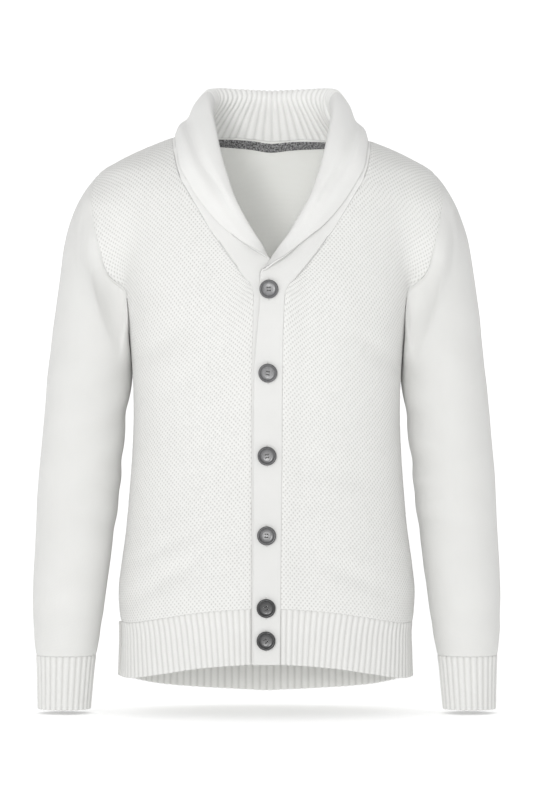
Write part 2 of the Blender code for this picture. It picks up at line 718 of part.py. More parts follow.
# ---------------------------------------------------------------- sleeves
def arm_surface(turn, z, side):
    """The arm's surface: turn 0 is outermost, 0.25 the front."""
    top = ARM[0][0]
    low = np.minimum(z, top)
    dome = np.sqrt(np.clip(1 - (np.maximum(z - top, 0) / ARM_DOME_RISE) ** 2, 0.02, 1))
    a = 2 * math.pi * turn
    x = arm("x", low) + arm("half_width", low) * dome * np.cos(a)
    y = arm("y", low) - arm("half_depth", low) * dome * np.sin(a)
    return np.stack([side * x, y, z + 0 * x], axis=-1)


def crease_depth(turn, z):
    """How far the creases draw the sleeve in at a turn and height."""
    total = np.zeros(np.broadcast(turn, z).shape)
    for height, centre, half_height, half_turn, slant, depth in SLEEVE_CREASES:
        across = (turn - centre + 0.5) % 1.0 - 0.5
        along = (z - height - slant * across) / half_height
        total += depth * np.exp(-along**2) * np.exp(-((across / half_turn) ** 2))
    return total


def sleeve_start(turns, side):
    """Points just outside the armhole seam, and the way the sleeve leaves it."""
    seam = armhole(turns, side)
    ahead, behind = armhole(turns + 0.004, side), armhole(turns - 0.004, side)
    normal = unit(slope_of(form_field, seam))
    away = unit(np.cross(ahead - behind, normal)) * side
    outward = away[..., 0] * side * np.cos(2 * math.pi * turns) - away[..., 2]
    away *= np.where(outward < 0, -1, 1)[..., None]
    return seam + away * SLEEVE_BARE, away


def sleeve_grid(side, turns, upper, lower):
    """Outer face of a sleeve: from the armhole down to the cuff."""
    start, away = sleeve_start(turns, side)
    join_z = start[..., 2] - 90 - 15 * np.cos(2 * math.pi * turns)
    end = arm_surface(turns, join_z, side)
    down = unit(arm_surface(turns, join_z - 4, side) - end)
    reach = np.linalg.norm(end - start, axis=-1, keepdims=True)
    along = (0.5 + 0.5 * np.cos(2 * math.pi * turns))[..., None]
    leave = unit(away * (0.25 + along) + unit(end - start) * (1 - along))
    rows = []
    for t in np.arange(upper) / upper:
        rows.append(
            start * (1 + 2 * t) * (1 - t) ** 2
            + leave * reach * t * (1 - t) ** 2
            + end * t * t * (3 - 2 * t)
            + down * reach * t * t * (t - 1)
        )
    for t in np.arange(lower + 1) / lower:
        rows.append(arm_surface(turns, join_z + (CUFF_TOP_Z + SEAM_GAP / 2 - join_z) * t, side))
    grid = np.array(rows)
    fallen = start[..., 2] - grid[..., 2]
    centre = np.stack([side * arm("x", grid[..., 2]), arm("y", grid[..., 2]), grid[..., 2]], axis=-1)
    soft = ease(fallen / 60) * ease((grid[..., 2] - CUFF_TOP_Z) / 20)
    grid += (soft * crease_depth(turns, grid[..., 2]))[..., None] * unit(centre - grid)
    return clear_of_body(grid)


def clear_of_body(grid):
    """Moves points of a sleeve out to a small clearance from the body's side."""
    for _ in range(6):
        slope = slope_of(torso_field, grid)
        slope[..., 2] = 0
        short = np.maximum(SLEEVE_CLEAR - torso_field(grid), 0) * (grid[..., 2] < -150)
        grid = grid + (short / np.maximum((slope * slope).sum(-1), 0.2))[..., None] * slope
    return grid


def build_sleeve(name, side, cols=20, upper=6, lower=9):
    """A sleeve, open at both ends."""
    grid = sleeve_grid(side, np.arange(cols) / cols, upper, lower)
    normals = side * grid_normals(grid, wrap=True)
    return wall(name, grid, grid - normals * BODY_WALL, KNIT_WHITE, wrap=True)


def build_cuff(name, side, downs=(0.0, 0.5, 1.0)):
    """A ribbed tube round the wrist."""
    def rings(shares, lift):
        made = []
        for z in CUFF_TOP_Z - SEAM_GAP + (CUFF_BOTTOM_Z - CUFF_TOP_Z + SEAM_GAP) * np.array(downs):
            p = arm_surface(shares, np.full(len(shares), z), side)
            centre = np.array([side * arm("x", z), arm("y", z), z])
            made.append(p + unit(p - centre) * lift[..., None])
        return np.array(made)

    at, height = rib_profile(RIBS_CUFF, 3)
    plain = np.arange(RIBS_CUFF) / RIBS_CUFF
    inner = rings(plain, np.full(RIBS_CUFF, -BODY_WALL))
    return wall(name, rings(at[:-1], height[:-1]), inner, RIB_WHITE, wrap=True)


# ---------------------------------------------------------------- bands and collar
def collar_section(station, side, steps=10):
    """Middle surface of the collar at one station: from the seam, over the roll, to the free edge."""
    def point(which):
        z = float(collar(which + "_z", station))
        x = side * float(collar(which + "_x", station)) + float(shift_x("x", z))
        return np.array([x, float(collar(which + "_y", station)), z])

    lap = LAP_RISE * float(ease((6.0 - station) / 5.0)) if side > 0 else 0.0
    turn_over = 1.0 if side > 0 else float(ease((station - UNDER_FALL_FROM) / 2.6))
    sewn = neck_seam(station, side)
    seam = sewn + unit(slope_of(form_field, sewn)) * (lap - BAND_WALL / 2)
    roll, edge = point("roll"), point("edge")
    near = float(ease((5.5 - station) / 2.0))
    flat_roll = settle(form_field, roll, lap - BAND_WALL / 2)
    roll = roll * (1 - near) + flat_roll * near
    edge = roll + (edge - roll) * turn_over
    rest = settle(form_field, edge, max(lap, 0) + FALL_CLEAR)
    edge = edge + (rest - edge) * turn_over * float(ease((station - 1.5) / 1.5))
    middle = (seam + roll) / 2
    hugged = settle(form_field, middle, lap - BAND_WALL / 2)
    middle += (hugged - middle) * float(collar("hug", station))
    reach = np.linalg.norm(edge - roll)
    if turn_over == 0 or reach < 0.5:
        return through(np.array([seam, middle, roll]), steps * 3)
    along = (edge - roll) / reach
    out = slope_of(form_field, (roll + edge) / 2)
    out = unit(out - along * (out @ along))
    fold = float(collar("crease_at", station))

    def off(share, height):
        return roll + along * reach * share + out * turn_over * float(collar(height, station))

    crest, bulge = off(-0.05, "crest"), off(fold * 0.5, "bulge")
    crease, fall = off(fold, "crease"), off((1 + fold) / 2, "fall")
    return through(np.array([seam, middle, roll, crest, bulge, crease, fall, edge]), steps)


def band_section(z, side):
    """Middle surface of a band at one height: level across from its seam to its free edge."""
    x = side * np.linspace(float(band("seam", z)), float(band("edge", z)), 9) + float(shift_x("x", z))
    p = np.stack([x, front_y(x, z), np.full(9, float(z))], axis=-1)
    lap = LAP_RISE if side > 0 else 0.0
    return settle(form_field, p, lap - BAND_WALL / 2, rounds=4)


def band_grid(side, stations, heights, cols):
    """Middle surface of a band and of its half of the shawl."""
    rows = [spread(band_section(z, side), cols, SEAM_GAP / 2) for z in heights]
    rows += [spread(collar_section(s, side), cols, SEAM_GAP / 2) for s in stations]
    return np.array(rows)


def build_band(name, side, cols=12, low=12, high=16):
    """A front band and its half of the shawl; one row past the joint sets the way its end faces."""
    heights = np.linspace(BAND[0][0], BAND[-1][0], low + 1)
    stations = np.arange(high + 2) * COLLAR_JOINT / high
    grid = band_grid(side, stations, heights, cols)
    normals = side * grid_normals(grid)[:-1]
    grid = grid[:-1]
    grid[-1] += unit(grid[-2] - grid[-1]) * EDGE_BARE
    half = normals * BAND_WALL / 2
    return wall(name, grid + half, grid - half, RIB_WHITE)


def build_back_collar(name, along=12):
    """The ribbed collar behind the neck; one row past each end sets the way the ends face."""
    middle = len(COLLAR) - 1
    inset = EDGE_BARE / MM_PER_STATION
    span = 2 * (middle - COLLAR_JOINT - inset)

    def rows_at(shares):
        past = shares[1]
        grid = []
        for share in (-past, *shares, 1 + past):
            s = COLLAR_JOINT + inset + share * span
            side, station = (1, s) if s <= middle else (-1, 2 * middle - s)
            grid.append(spread(collar_section(station, side), along, SEAM_GAP / 2))
        grid = np.array(grid).transpose(1, 0, 2)
        return grid[:, 1:-1], grid_normals(grid)[:, 1:-1]

    at, height = rib_profile(RIBS_COLLAR, 2)
    lift = height + BAND_WALL / 2
    ridged, ridged_out = rows_at(at)
    plain, plain_out = rows_at(np.linspace(0, 1, RIBS_COLLAR + 1))
    outer = ridged - ridged_out * lift[None, :, None]
    return wall(name, outer, plain + plain_out * BAND_WALL / 2, RIB_WHITE)


# ---------------------------------------------------------------- small pieces
def build_tape(name):
    """Tape sewn inside the back, its upper edge along the collar seam."""
    grid = back_grid()
    sewn = (slice(-2, None), slice(BACK_SHOULDER_COLS, -BACK_SHOULDER_COLS))
    normals = grid_normals(grid)[sewn]
    outer = grid[sewn] - normals * (BODY_WALL + SEAM_GAP)
    return wall(name, outer, outer - normals * TAPE_THICK, TAPE_GREY)


def button_seat(z, x):
    """Middle of a button's back, and its directions across, up and out."""
    low, high = band_section(z - 8, 1), band_section(z + 8, 1)
    line = (low + high)[np.argsort((low + high)[:, 0])] / 2
    foot = np.array([x, np.interp(x, line[:, 0], line[:, 1]), z])
    out = unit(slope_of(form_field, foot))
    across = unit(np.cross(np.array([0.0, 0, 1]), out))
    return foot + out * (BAND_WALL / 2 + BUTTON_LIFT), across, np.cross(out, across), out


def build_button(name, z, x, spokes=18):
    """A dished button with a raised rim, its back just off the band."""
    foot, across, up, out = button_seat(z, x)
    r, t = BUTTON_RADIUS, BUTTON_THICK
    profile = np.array([(r * 0.80, 0), (r, t * 0.45), (r * 0.93, t), (r * 0.74, t), (r * 0.60, t * 0.62)])
    radius, height = profile[:, :1, None], profile[:, 1:, None]
    turn = 2 * math.pi * np.arange(spokes)[None, :, None] / spokes
    points = foot + radius * (across * np.cos(turn) + up * np.sin(turn)) + height * out
    faces = [tuple(range(spokes - 1, -1, -1))]
    for ring in range(len(profile) - 1):
        here, above = ring * spokes, (ring + 1) * spokes
        for k in range(spokes):
            n = (k + 1) % spokes
            faces.append((here + k, here + n, above + n, above + k))
    faces.append(tuple(above + k for k in range(spokes)))
    return solid(name, points.reshape(-1, 3), faces, HORN_GREY, 0.45)


# ---------------------------------------------------------------- the cardigan
def clear_scene():
    """Takes away whatever the file opened with."""
    for obj in list(bpy.data.objects):
        bpy.data.objects.remove(obj, do_unlink=True)


def main():
    clear_scene()
    for name, side in (("left", 1), ("right", -1)):
        build_front("front_" + name, side)
        build_sleeve("sleeve_" + name, side)
        build_cuff("cuff_" + name, side)
        build_band("band_" + name, side)
        low_seam = float(angle_of(band_seam(np.array(HEM_SEAM_Z), side)))
        build_hem("hem_" + name, low_seam, side * math.pi / 2, RIBS_FRONT, side, RIB_LEAN)
    build_back("back")
    build_hem("hem_back", math.pi / 2, 1.5 * math.pi, RIBS_BACK, -1, 0.0)
    build_back_collar("collar_back")
    build_tape("neck_tape")
    for number, (z, x) in enumerate(BUTTONS, 1):
        build_button("button_%d" % number, z, x)


main()
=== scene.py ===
"""Looks of the shawl-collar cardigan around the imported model: knit, ribs, tape and buttons.

Works in millimetres and converts to metres in mesh_piece.  +Z is up, -Y the front, +X the
wearer's left.  The tables and the form's functions are those of the solids.
"""

import math

import bpy
import numpy as np
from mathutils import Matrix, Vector


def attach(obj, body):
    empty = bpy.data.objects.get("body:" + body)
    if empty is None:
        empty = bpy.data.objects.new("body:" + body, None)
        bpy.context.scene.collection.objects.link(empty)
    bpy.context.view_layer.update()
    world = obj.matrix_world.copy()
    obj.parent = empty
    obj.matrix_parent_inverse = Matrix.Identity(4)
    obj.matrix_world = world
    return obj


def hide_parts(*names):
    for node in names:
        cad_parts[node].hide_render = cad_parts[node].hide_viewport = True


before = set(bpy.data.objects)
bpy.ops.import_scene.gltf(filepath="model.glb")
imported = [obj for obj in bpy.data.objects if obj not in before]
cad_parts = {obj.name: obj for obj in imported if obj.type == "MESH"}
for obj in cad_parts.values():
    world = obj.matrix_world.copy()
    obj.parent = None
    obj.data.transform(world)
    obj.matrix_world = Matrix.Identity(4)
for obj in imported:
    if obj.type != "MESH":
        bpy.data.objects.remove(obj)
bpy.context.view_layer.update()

MM = 0.001

# Driving dimensions of the solids
BODY_WALL = 2.4           # knitted cloth of body and sleeves
BAND_WALL = 2.6           # front bands and collar
STAND_INSET = 2.0         # the tape's upper edge lies this far below the collar seam
SEAM_GAP = 0.3            # tape to back
LAP_RISE = 3.4            # the left band lies this much above the right one
LAP_BLEND = 30.0          # the left front climbs to its band over this width
HEM_HEIGHT = 68.0
CUFF_TOP_Z, CUFF_BOTTOM_Z = -645.0, -711.0
UNDERARM_Z, SHOULDER_TIP_Z = -236.0, -45.0
RIDGE_PROUD, GROOVE_DEEP = 0.5, 1.1   # rib ridge and groove, from the plain surface
RIBS_FRONT, RIBS_BACK, RIBS_CUFF, RIBS_COLLAR = 30, 54, 27, 30
BUTTON_RADIUS, BUTTON_THICK = 11.6, 4.0
SLEEVE_CLEAR = 1.2        # sleeve to body where the arm hangs against it
RIB_LEAN = 0.04           # front ribs lean to the middle by this share of their panel's width
TAPE_HEIGHT, TAPE_THICK = 12.5, 1.2
BACK_SHOULDER_COLS, BACK_NECK_COLS = 5, 14

# Finer form and finish
SEED_STITCH = (2.62, 3.05)            # one stitch of the fronts, across and up
PLAIN_STITCH = (2.1, 1.7)             # one stitch of sleeves, back, bands
RIB_STITCH = (2.0, 2.3)
SEED_DEPTH = 0.45
SEED_JITTER = 0.13                    # stitches stray this far from their lattice
RIB_STITCH_DEPTH = 0.10
POINTS_PER_RIB = 8
EDGE_ROUND = 1.3                      # half the cloth's thickness, rounding its free edges
ROUND_STOPS = (0.0, 0.12, 0.45, 1.0)
SEAM_DIP, SEAM_REACH = 0.6, 3.4       # a sewn edge sinks this deep, over this width
RIPPLE = 0.9
RIPPLE_SIZES, WAVES_A_SIZE = (150, 95, 60, 38), 3
CREASE_FADE, RIPPLE_FADE = 12, 25     # creases and unevenness end this far from a piece's edge
STITCH_UNEVEN = 0.3                   # seed stitches differ in height by this share
FRONT_INSIDE = (48, 16)               # rows and columns of a front's inner face
BACK_PITCH, BACK_COLUMNS, BACK_INSIDE = 3.6, 150, (110, 100)
SLEEVE_GRID, SLEEVE_INSIDE_ROWS = (168, 44, 132), 60
CUT_GRID = (40, 12, 24)               # a coarser sleeve, to measure its cut
TAPE_LENGTH = 236.0
BUTTON_SHARP = 42                     # edges of a button bent more than this many degrees stay sharp
# Half a button's outline from its back to its dished face: shares of the radius and thickness
BUTTON_PROFILE = (
    (0.0, 0.0), (0.76, 0.0), (0.88, 0.08), (0.965, 0.28), (1.0, 0.52), (0.985, 0.78), (0.94, 0.94),
    (0.87, 1.0), (0.80, 0.96), (0.745, 0.83), (0.70, 0.69), (0.62, 0.62), (0.45, 0.58), (0.0, 0.56),
)
WALE_LINE_X = 122.0                   # the column of stitches that runs straight up the front
BUTTON_LIFT = 0.9                     # back of a button above the band
BUTTON_HOLE_RADIUS, BUTTON_HOLE_APART = 1.05, 3.6
BUTTON_TURNS = (3, -8, 12, -4, 20, 40)
BUTTONHOLE_SHOWS = 1.6                # its ends stand out past the button

# Finishes
KNIT_ROUGH, KNIT_SHEEN = 0.92, 0.22
FLECK_SHARE, CLOUD_SHARE = 0.30, 0.14         # how much fine and broad patches darken and lighten the knit at random
FUZZ_RELIEF = 0.00005
KNIT_TONE = (0.722, 0.722, 0.706)
# the band's own tone, and a lighter tone painted on its upper part as top light
BAND_TONE, TOP_LIGHT_TONE = (0.69, 0.69, 0.677), (0.79, 0.79, 0.776)
TOP_LIGHT_FROM, TOP_LIGHT_FULL = -0.150, -0.030       # heights between which painted top light lightens the band
# the back collar's ribs, painted lighter than the knit as painted light
COLLAR_RIB_PAINTED_LIGHT_TONE = (0.91, 0.91, 0.893)
PAINTED_SHADE_SHARE = (0.60, 0.595, 0.585)             # a stitch's shaded tone, as a share of its tone
# the back's inside, painted lighter than the knit as painted light
INSIDE_PAINTED_LIGHT_TONE = (0.95, 0.955, 0.925)
INSIDE_PAINTED_GLOW = 0.085                           # painted light: the back's inside glows in its tone, lightening its shade
# the ribs' inside, painted lighter than the knit as painted light
HEM_INSIDE_PAINTED_LIGHT_TONE = (0.87, 0.87, 0.85)
TAPE_DARK, TAPE_LIGHT = (0.080, 0.080, 0.083), (0.62, 0.62, 0.63)
# each button's grey, darker towards the bottom
BUTTON_TONES = (0.180, 0.168, 0.118, 0.112, 0.034, 0.038)
BUTTON_RIM_SHADE = (0.64, 0.78)                     # shares of the radius where the painted shade of its rim begins
# horn tones of the middle, and of the rim darkened as painted shade, as shares of a button's tone
HORN_CENTRE = ((0.75, 0.75, 0.77), (1.3, 1.3, 1.33))
HORN_EDGE_SHADE = ((0.30, 0.30, 0.31), (0.62, 0.62, 0.64))
THREAD_TONE, HOLE_TONE = (0.035, 0.035, 0.037), (0.72, 0.72, 0.70)
FLOOR_TONES = ((0.93, 0.93, 0.93), (0.95, 0.95, 0.95))

# Stage, camera and light, in metres
FLOOR_Z = -0.7165
FLOOR_GLOW = 0.34
SWEEP_HALF_WIDTH, SWEEP_FRONT, SWEEP_BEND, SWEEP_TOP = 8.0, -6.0, 2.2, 4.0
SWEEP_RADIUS = 1.5
CAMERA_PLACE = (-0.0003, -5.0, -0.3275)
WORLD_STRENGTH = 0.62
LIGHTS = (                # name, place, aim, size, power
    ("key", (-1.25, -4.6, 0.45), (0.0, 0.0, -0.30), 1.0, 63),
    ("front", (0.05, -4.85, -0.15), (0.0, 0.0, -0.33), 0.5, 32),
)

# Level sections of the body: half width, depth to the front, depth to the back, squareness
TORSO_COLUMNS = ("z", "half_width", "front", "back", "power")
TORSO = (
    (24, 80, 38, 76, 2.0),
    (2, 114, 56, 86, 2.0),
    (-6, 134, 64, 90, 2.05),
    (-15, 156, 72, 94, 2.1),
    (-27, 181, 80, 98, 2.15),
    (-40, 202, 87, 102, 2.2),
    (-60, 210, 96, 106, 2.25),
    (-95, 206, 106, 110, 2.3),
    (-135, 194, 113, 113, 2.35),
    (-175, 183.5, 117, 113, 2.4),
    (-215, 176.5, 119, 111, 2.4),
    (-252, 171.5, 118, 107, 2.4),
    (-290, 167.5, 116, 102, 2.4),
    (-340, 166, 113, 98, 2.35),
    (-390, 167.5, 111.5, 96, 2.35),
    (-440, 171, 112, 98, 2.35),
    (-490, 175.5, 114, 102, 2.4),
    (-530, 181, 116.5, 106, 2.4),
    (-565, 184.5, 118.5, 108, 2.4),
    (-590, 183.5, 118, 107.5, 2.4),
    (-612, 181, 117, 106.5, 2.4),
    (-645, 181.5, 118, 107.5, 2.4),
    (-675, 182.5, 119, 108.5, 2.4),
    (-705, 182.5, 120, 109, 2.4),
)

# Level sections of the arm in its sleeve: centre, half width, half depth
ARM_COLUMNS = ("z", "x", "y", "half_width", "half_depth")
ARM = (
    (-95, 180, 0, 59.5, 63),
    (-125, 191, 1, 59.5, 63),
    (-165, 199.5, 3, 58, 62),
    (-215, 209, 5, 56, 60),
    (-265, 216.5, 7, 54.5, 58),
    (-315, 222.6, 8, 53.2, 56),
    (-365, 228.3, 8, 52.4, 54),
    (-415, 232.8, 6, 52.2, 52),
    (-465, 237.0, 3, 50.6, 50),
    (-515, 241.6, -2, 48.3, 48),
    (-565, 245.8, -8, 46.0, 46),
    (-605, 248.0, -13, 43.2, 43.5),
    (-628, 249.2, -16, 40.2, 41),
    (-646, 249.8, -19, 37.2, 38),
    (-680, 250.8, -24, 34.6, 35.5),
    (-715, 251.8, -29, 32.6, 34),
)
ARM_PARTS_Z = -125.0      # below this the arm hangs apart from the body
ARM_PARTS_OVER = 180.0    # it comes away over this height
ARM_PARTS_BY = 70.0       # until it no longer shapes the body
ARM_DOME_RISE = 50.0      # the shoulder end of the arm is a dome this high
SHOULDER_BLEND = 20.0     # arm and body run together over about this width

# Armhole seam seen from the front: how far out it runs at each height
ARMHOLE_COLUMNS = ("z", "x")
ARMHOLE = (
    (-45, 213), (-65, 218), (-90, 216.5), (-115, 213), (-140, 207),
    (-165, 200), (-190, 190.5), (-213, 181), (-236, 174.5),
)
ARMHOLE_HALF_DEPTH = 60.0

# The collar and bands sit a little to the wearer's left of the body's middle
SHIFT_COLUMNS = ("z", "x")
SHIFT = ((60, 6.5), (-100, 6.5), (-158, 5.5), (-193, 3.4), (-250, 1.4), (-400, 0.2), (-660, -1.2))

# Lowest edge of the hem at each share of the way round from the middle of the front to the back
HEM_COLUMNS = ("angle", "z")
HEM_LEVELS = (
    (0, -649.5), (0.12, -655.5), (0.24, -664.5), (0.36, -671), (0.50, -671.5),
    (0.62, -677.5), (0.76, -688), (1.0, -698.5),
)
HEM_SEAM_Z = -620.0       # hem and bands meet along a line upright through this height

# Front bands below the collar: seam, and free edge past the middle, at each height
BAND_COLUMNS = ("z", "seam", "edge")
BAND = (
    (-651, 17.5, -15.8),
    (-581, 17.8, -16.0),
    (-460, 18.4, -16.3),
    (-330, 18.8, -16.3),
    (-270, 18.8, -15.2),
    (-225, 18.8, -12.4),
    (-198, 19.5, -11.2),
)

# Collar stations from the top button round to the middle of the back neck.  The seam lies on the
# body, the roll is the innermost line of the fold, and the edge is the free edge of the fall.
# Heights stand out from the line between roll and edge; the crease lies part way along it.
COLLAR_COLUMNS = (
    "seam_x", "seam_y", "seam_z", "roll_x", "roll_y", "roll_z", "edge_x", "edge_y", "edge_z",
    "crest", "bulge", "crease_at", "crease", "fall", "hug",
)
COLLAR = (
    (24, -121, -186, -11.5, -121, -172, -11.5, -121, -172, 0, 0, 0.40, 0, 0, 1),
    (34, -119, -176, 0, -122, -158, 2.5, -128, -161, 2, 2, 0.40, 1.5, 1, 1),
    (44, -117, -163, 11, -121, -144, 19, -127, -150.5, 4, 4, 0.40, 3.6, 2.5, 1),
    (60, -113, -142, 24.3, -118, -124, 40, -123, -133, 5, 6, 0.35, 5.5, 4, 1),
    (77, -107, -117, 36.6, -112, -103, 64.5, -116, -112, 5.5, 8, 0.30, 7.5, 6, 1),
    (94, -96, -88, 48.3, -103, -80, 87, -106, -85.5, 6, 10, 0.24, 8, 8, 1),
    (111, -79, -59, 58.3, -88, -55, 104.5, -89, -57.5, 8, 12, 0.37, 8, 9.5, 1),
    (117, -66, -41, 65, -74, -36, 113.5, -76, -38.5, 10, 13.5, 0.48, 8.5, 10, 1),
    (121, -48, -21, 71.2, -54, -13, 117, -57, -19, 13, 15, 0.56, 8, 10, 1),
    (123, -24, -8, 74, -27, 18, 119.5, -31, -4, 14, 14, 0.60, 7, 8.5, 1),
    (122, 2, 0, 72.5, 2, 44, 121, 2, 6, 14.5, 13.5, 0.62, 5.5, 6.5, 1),
    (109, 40, 5, 66, 35, 52, 109, 52, -3, 14.5, 15.5, 0.58, 8, 8, 0.7),
    (82, 68, 10.5, 46, 61, 55, 79, 86, -10, 16, 17, 0.54, 11, 9.5, 0.3),
    (44, 81, 7, 23, 73, 57, 41, 101, -16, 15, 17, 0.50, 12.5, 10, 0.1),
    (0, 86, 1, 0, 77, 57, 0, 106, -18, 15, 17, 0.50, 13, 10, 0),
)
SHOULDER_STATION = 10     # where the shoulder seam meets the collar
COLLAR_JOINT = 10         # station where the plain shawl meets the ribbed back collar, at the shoulder
FALL_CLEAR = 2.2          # the fall's middle surface above the body
UNDER_FALL_FROM = 0.6     # the right collar starts to turn over at this station

# Buttons: height of each on the left band, and its place across
BUTTONS = (
    (-192.5, 2.6), (-294.5, 1.3), (-396.0, 0.3), (-493.5, -0.2), (-581.5, -0.8), (-621.5, -0.9),
)

# Soft creases of the body: face (-1 is the front), x, z, half length, half height, slant, depth
BODY_FOLDS = (
    (-1, -122, -545, 52, 13, 0.62, 3.0),
    (-1, -128, -508, 38, 11, 0.50, 1.8),
    (-1, -138, -262, 34, 15, 0.55, 2.2),
    (-1, -96, -300, 40, 14, 0.45, 1.4),
    (-1, 140, -268, 34, 15, -0.60, 2.2),
    (-1, 118, -548, 44, 13, -0.42, 2.0),
    (-1, 96, -420, 48, 16, -0.25, 1.3),
    (1, -120, -290, 50, 16, 0.50, 2.6),
    (1, 112, -300, 46, 15, -0.55, 2.4),
    (1, -60, -440, 70, 18, 0.12, 2.6),
    (1, 74, -470, 62, 16, -0.16, 2.4),
    (1, -96, -545, 48, 14, 0.30, 2.2),
    (1, 20, -385, 84, 20, 0.05, 2.0),
)


# Soft creases of the sleeve: z, turn round the arm, half height, half turn, slant, depth
SLEEVE_CREASES = (
    (-300, 0.36, 16, 0.13, 110, 3.0),
    (-352, 0.40, 14, 0.15, 90, 3.2),
    (-408, 0.42, 13, 0.16, 60, 3.4),
    (-438, 0.38, 12, 0.14, -40, 2.8),
    (-480, 0.40, 13, 0.14, -70, 2.4),
    (-360, 0.66, 15, 0.13, -90, 2.6),
    (-425, 0.70, 14, 0.14, -60, 2.6),
    (-590, 0.22, 10, 0.20, 30, 1.8),
    (-612, 0.72, 10, 0.22, -25, 2.0),
    (-250, 0.12, 22, 0.10, 140, 1.6),
)


# ---------------------------------------------------------------- curves and tables
def column(table, columns, name):
    return np.array([row[columns.index(name)] for row in table], float)


def smooth(at, knots, values):
    """Cubic through the knots, held level past both ends."""
    order = np.argsort(knots)
    k, v = np.asarray(knots, float)[order], np.asarray(values, float)[order]
    step, rise = np.diff(k), np.diff(v) / np.diff(k)
    slope = np.zeros(len(k))
    slope[1:-1] = (rise[:-1] * step[1:] + rise[1:] * step[:-1]) / (step[1:] + step[:-1])
    slope[0], slope[-1] = rise[0], rise[-1]
    x = np.clip(at, k[0], k[-1])
    i = np.clip(np.searchsorted(k, x, side="right") - 1, 0, len(k) - 2)
    h = step[i]
    t = (x - k[i]) / h
    return (
        v[i] * (1 + 2 * t) * (1 - t) ** 2
        + slope[i] * h * t * (1 - t) ** 2
        + v[i + 1] * t * t * (3 - 2 * t)
        + slope[i + 1] * h * t * t * (t - 1)
    )


def reader(table, columns, key):
    """A function that gives one named column at any value of the key column."""
    keys = column(table, columns, key)
    return lambda name, at: smooth(at, keys, column(table, columns, name))


torso = reader(TORSO, TORSO_COLUMNS, "z")
arm = reader(ARM, ARM_COLUMNS, "z")
armhole_x = reader(ARMHOLE, ARMHOLE_COLUMNS, "z")
shift_x = reader(SHIFT, SHIFT_COLUMNS, "z")
band = reader(BAND, BAND_COLUMNS, "z")


def collar(name, station):
    """A column of the collar table at any station, whole or between two."""
    values = column(COLLAR, COLLAR_COLUMNS, name)
    return smooth(station, np.arange(len(values)), values)


def ease(t):
    t = np.clip(t, 0, 1)
    return t * t * (3 - 2 * t)


def unit(v):
    return v / np.maximum(np.linalg.norm(v, axis=-1, keepdims=True), 1e-9)


def spread(line, count, start=0.0, end=0.0):
    """count + 1 points evenly along a line of points, leaving start and end millimetres bare."""
    length = np.concatenate([[0], np.cumsum(np.linalg.norm(np.diff(line, axis=0), axis=1))])
    at = np.linspace(start, length[-1] - end, count + 1)
    return np.stack([np.interp(at, length, line[:, k]) for k in range(3)], axis=1)


def through(points, per_span):
    """A smooth line through a few points, with per_span steps between each two."""
    p = np.vstack([2 * points[0] - points[1], points, 2 * points[-1] - points[-2]])
    reach = np.maximum(np.linalg.norm(np.diff(p, axis=0), axis=1), 1e-6) ** 0.5
    knot = np.concatenate([[0], np.cumsum(reach)])
    line = []
    for i in range(1, len(p) - 2):
        for t in knot[i] + (knot[i + 1] - knot[i]) * np.arange(per_span) / per_span:
            a = [
                p[j] + (p[j + 1] - p[j]) * (t - knot[j]) / (knot[j + 1] - knot[j])
                for j in (i - 1, i, i + 1)
            ]
            b = [
                a[j] + (a[j + 1] - a[j]) * (t - knot[i - 1 + j]) / (knot[i + 1 + j] - knot[i - 1 + j])
                for j in (0, 1)
            ]
            line.append(b[0] + (b[1] - b[0]) * (t - knot[i]) / (knot[i + 1] - knot[i]))
    line.append(points[-1])
    return np.array(line)


# ---------------------------------------------------------------- the filled-out form
def torso_field(p):
    """Level distance of each point from the body's surface, negative inside."""
    x, y, z = p[..., 0], p[..., 1], p[..., 2]
    depth = np.where(y < 0, torso("front", z), torso("back", z))
    n = torso("power", z)
    share = ((np.abs(x) / torso("half_width", z)) ** n + (np.abs(y) / depth) ** n) ** (1 / n)
    return np.hypot(x, y) * (1 - 1 / np.maximum(share, 1e-3))


def arm_field(p):
    """Level distance of each point from the nearer arm's surface."""
    x, y, z = np.abs(p[..., 0]), p[..., 1], p[..., 2]
    top = ARM[0][0]
    low = np.minimum(z, top)
    up = np.maximum(z - top, 0) / ARM_DOME_RISE
    dx, dy = x - arm("x", low), y - arm("y", low)
    half_width, half_depth = arm("half_width", low), arm("half_depth", low)
    share = np.sqrt((dx / half_width) ** 2 + (dy / half_depth) ** 2 + up**2)
    return (share - 1) * half_width


def form_field(p):
    """Body and arms as one form at the shoulders; below the armhole's middle the body alone."""
    body = torso_field(p)
    apart = ARM_PARTS_BY * ease((ARM_PARTS_Z - p[..., 2]) / ARM_PARTS_OVER)
    limb = arm_field(p) + apart
    width = SHOULDER_BLEND
    h = np.clip(0.5 + 0.5 * (limb - body) / width, 0, 1)
    return limb * (1 - h) + body * h - width * h * (1 - h)


def slope_of(field, p):
    step = 0.4
    axes = np.eye(3) * step
    return np.stack([(field(p + a) - field(p - a)) / (2 * step) for a in axes], axis=-1)


def out_of_form(p):
    """The way out of the body and shoulders at each point."""
    return unit(slope_of(form_field, p))


def settle(field, p, level=0.0, rounds=10):
    """Moves points to where the field has that level: level across low down, along its slope at the top."""
    p = np.array(p, float)
    for _ in range(rounds):
        g = slope_of(field, p)
        g[..., 2] *= ease((p[..., 2] + 150) / 80)
        steepness = np.maximum((g * g).sum(-1), 0.05)
        step = ((field(p) - level) / steepness)[..., None] * g
        size = np.linalg.norm(step, axis=-1, keepdims=True)
        p = p - step * np.minimum(1, 12 / np.maximum(size, 1e-9))
    return p


def wrapped(angle):
    """Angles past the back's middle counted from the other side."""
    return np.where(angle > math.pi, angle - 2 * math.pi, angle)


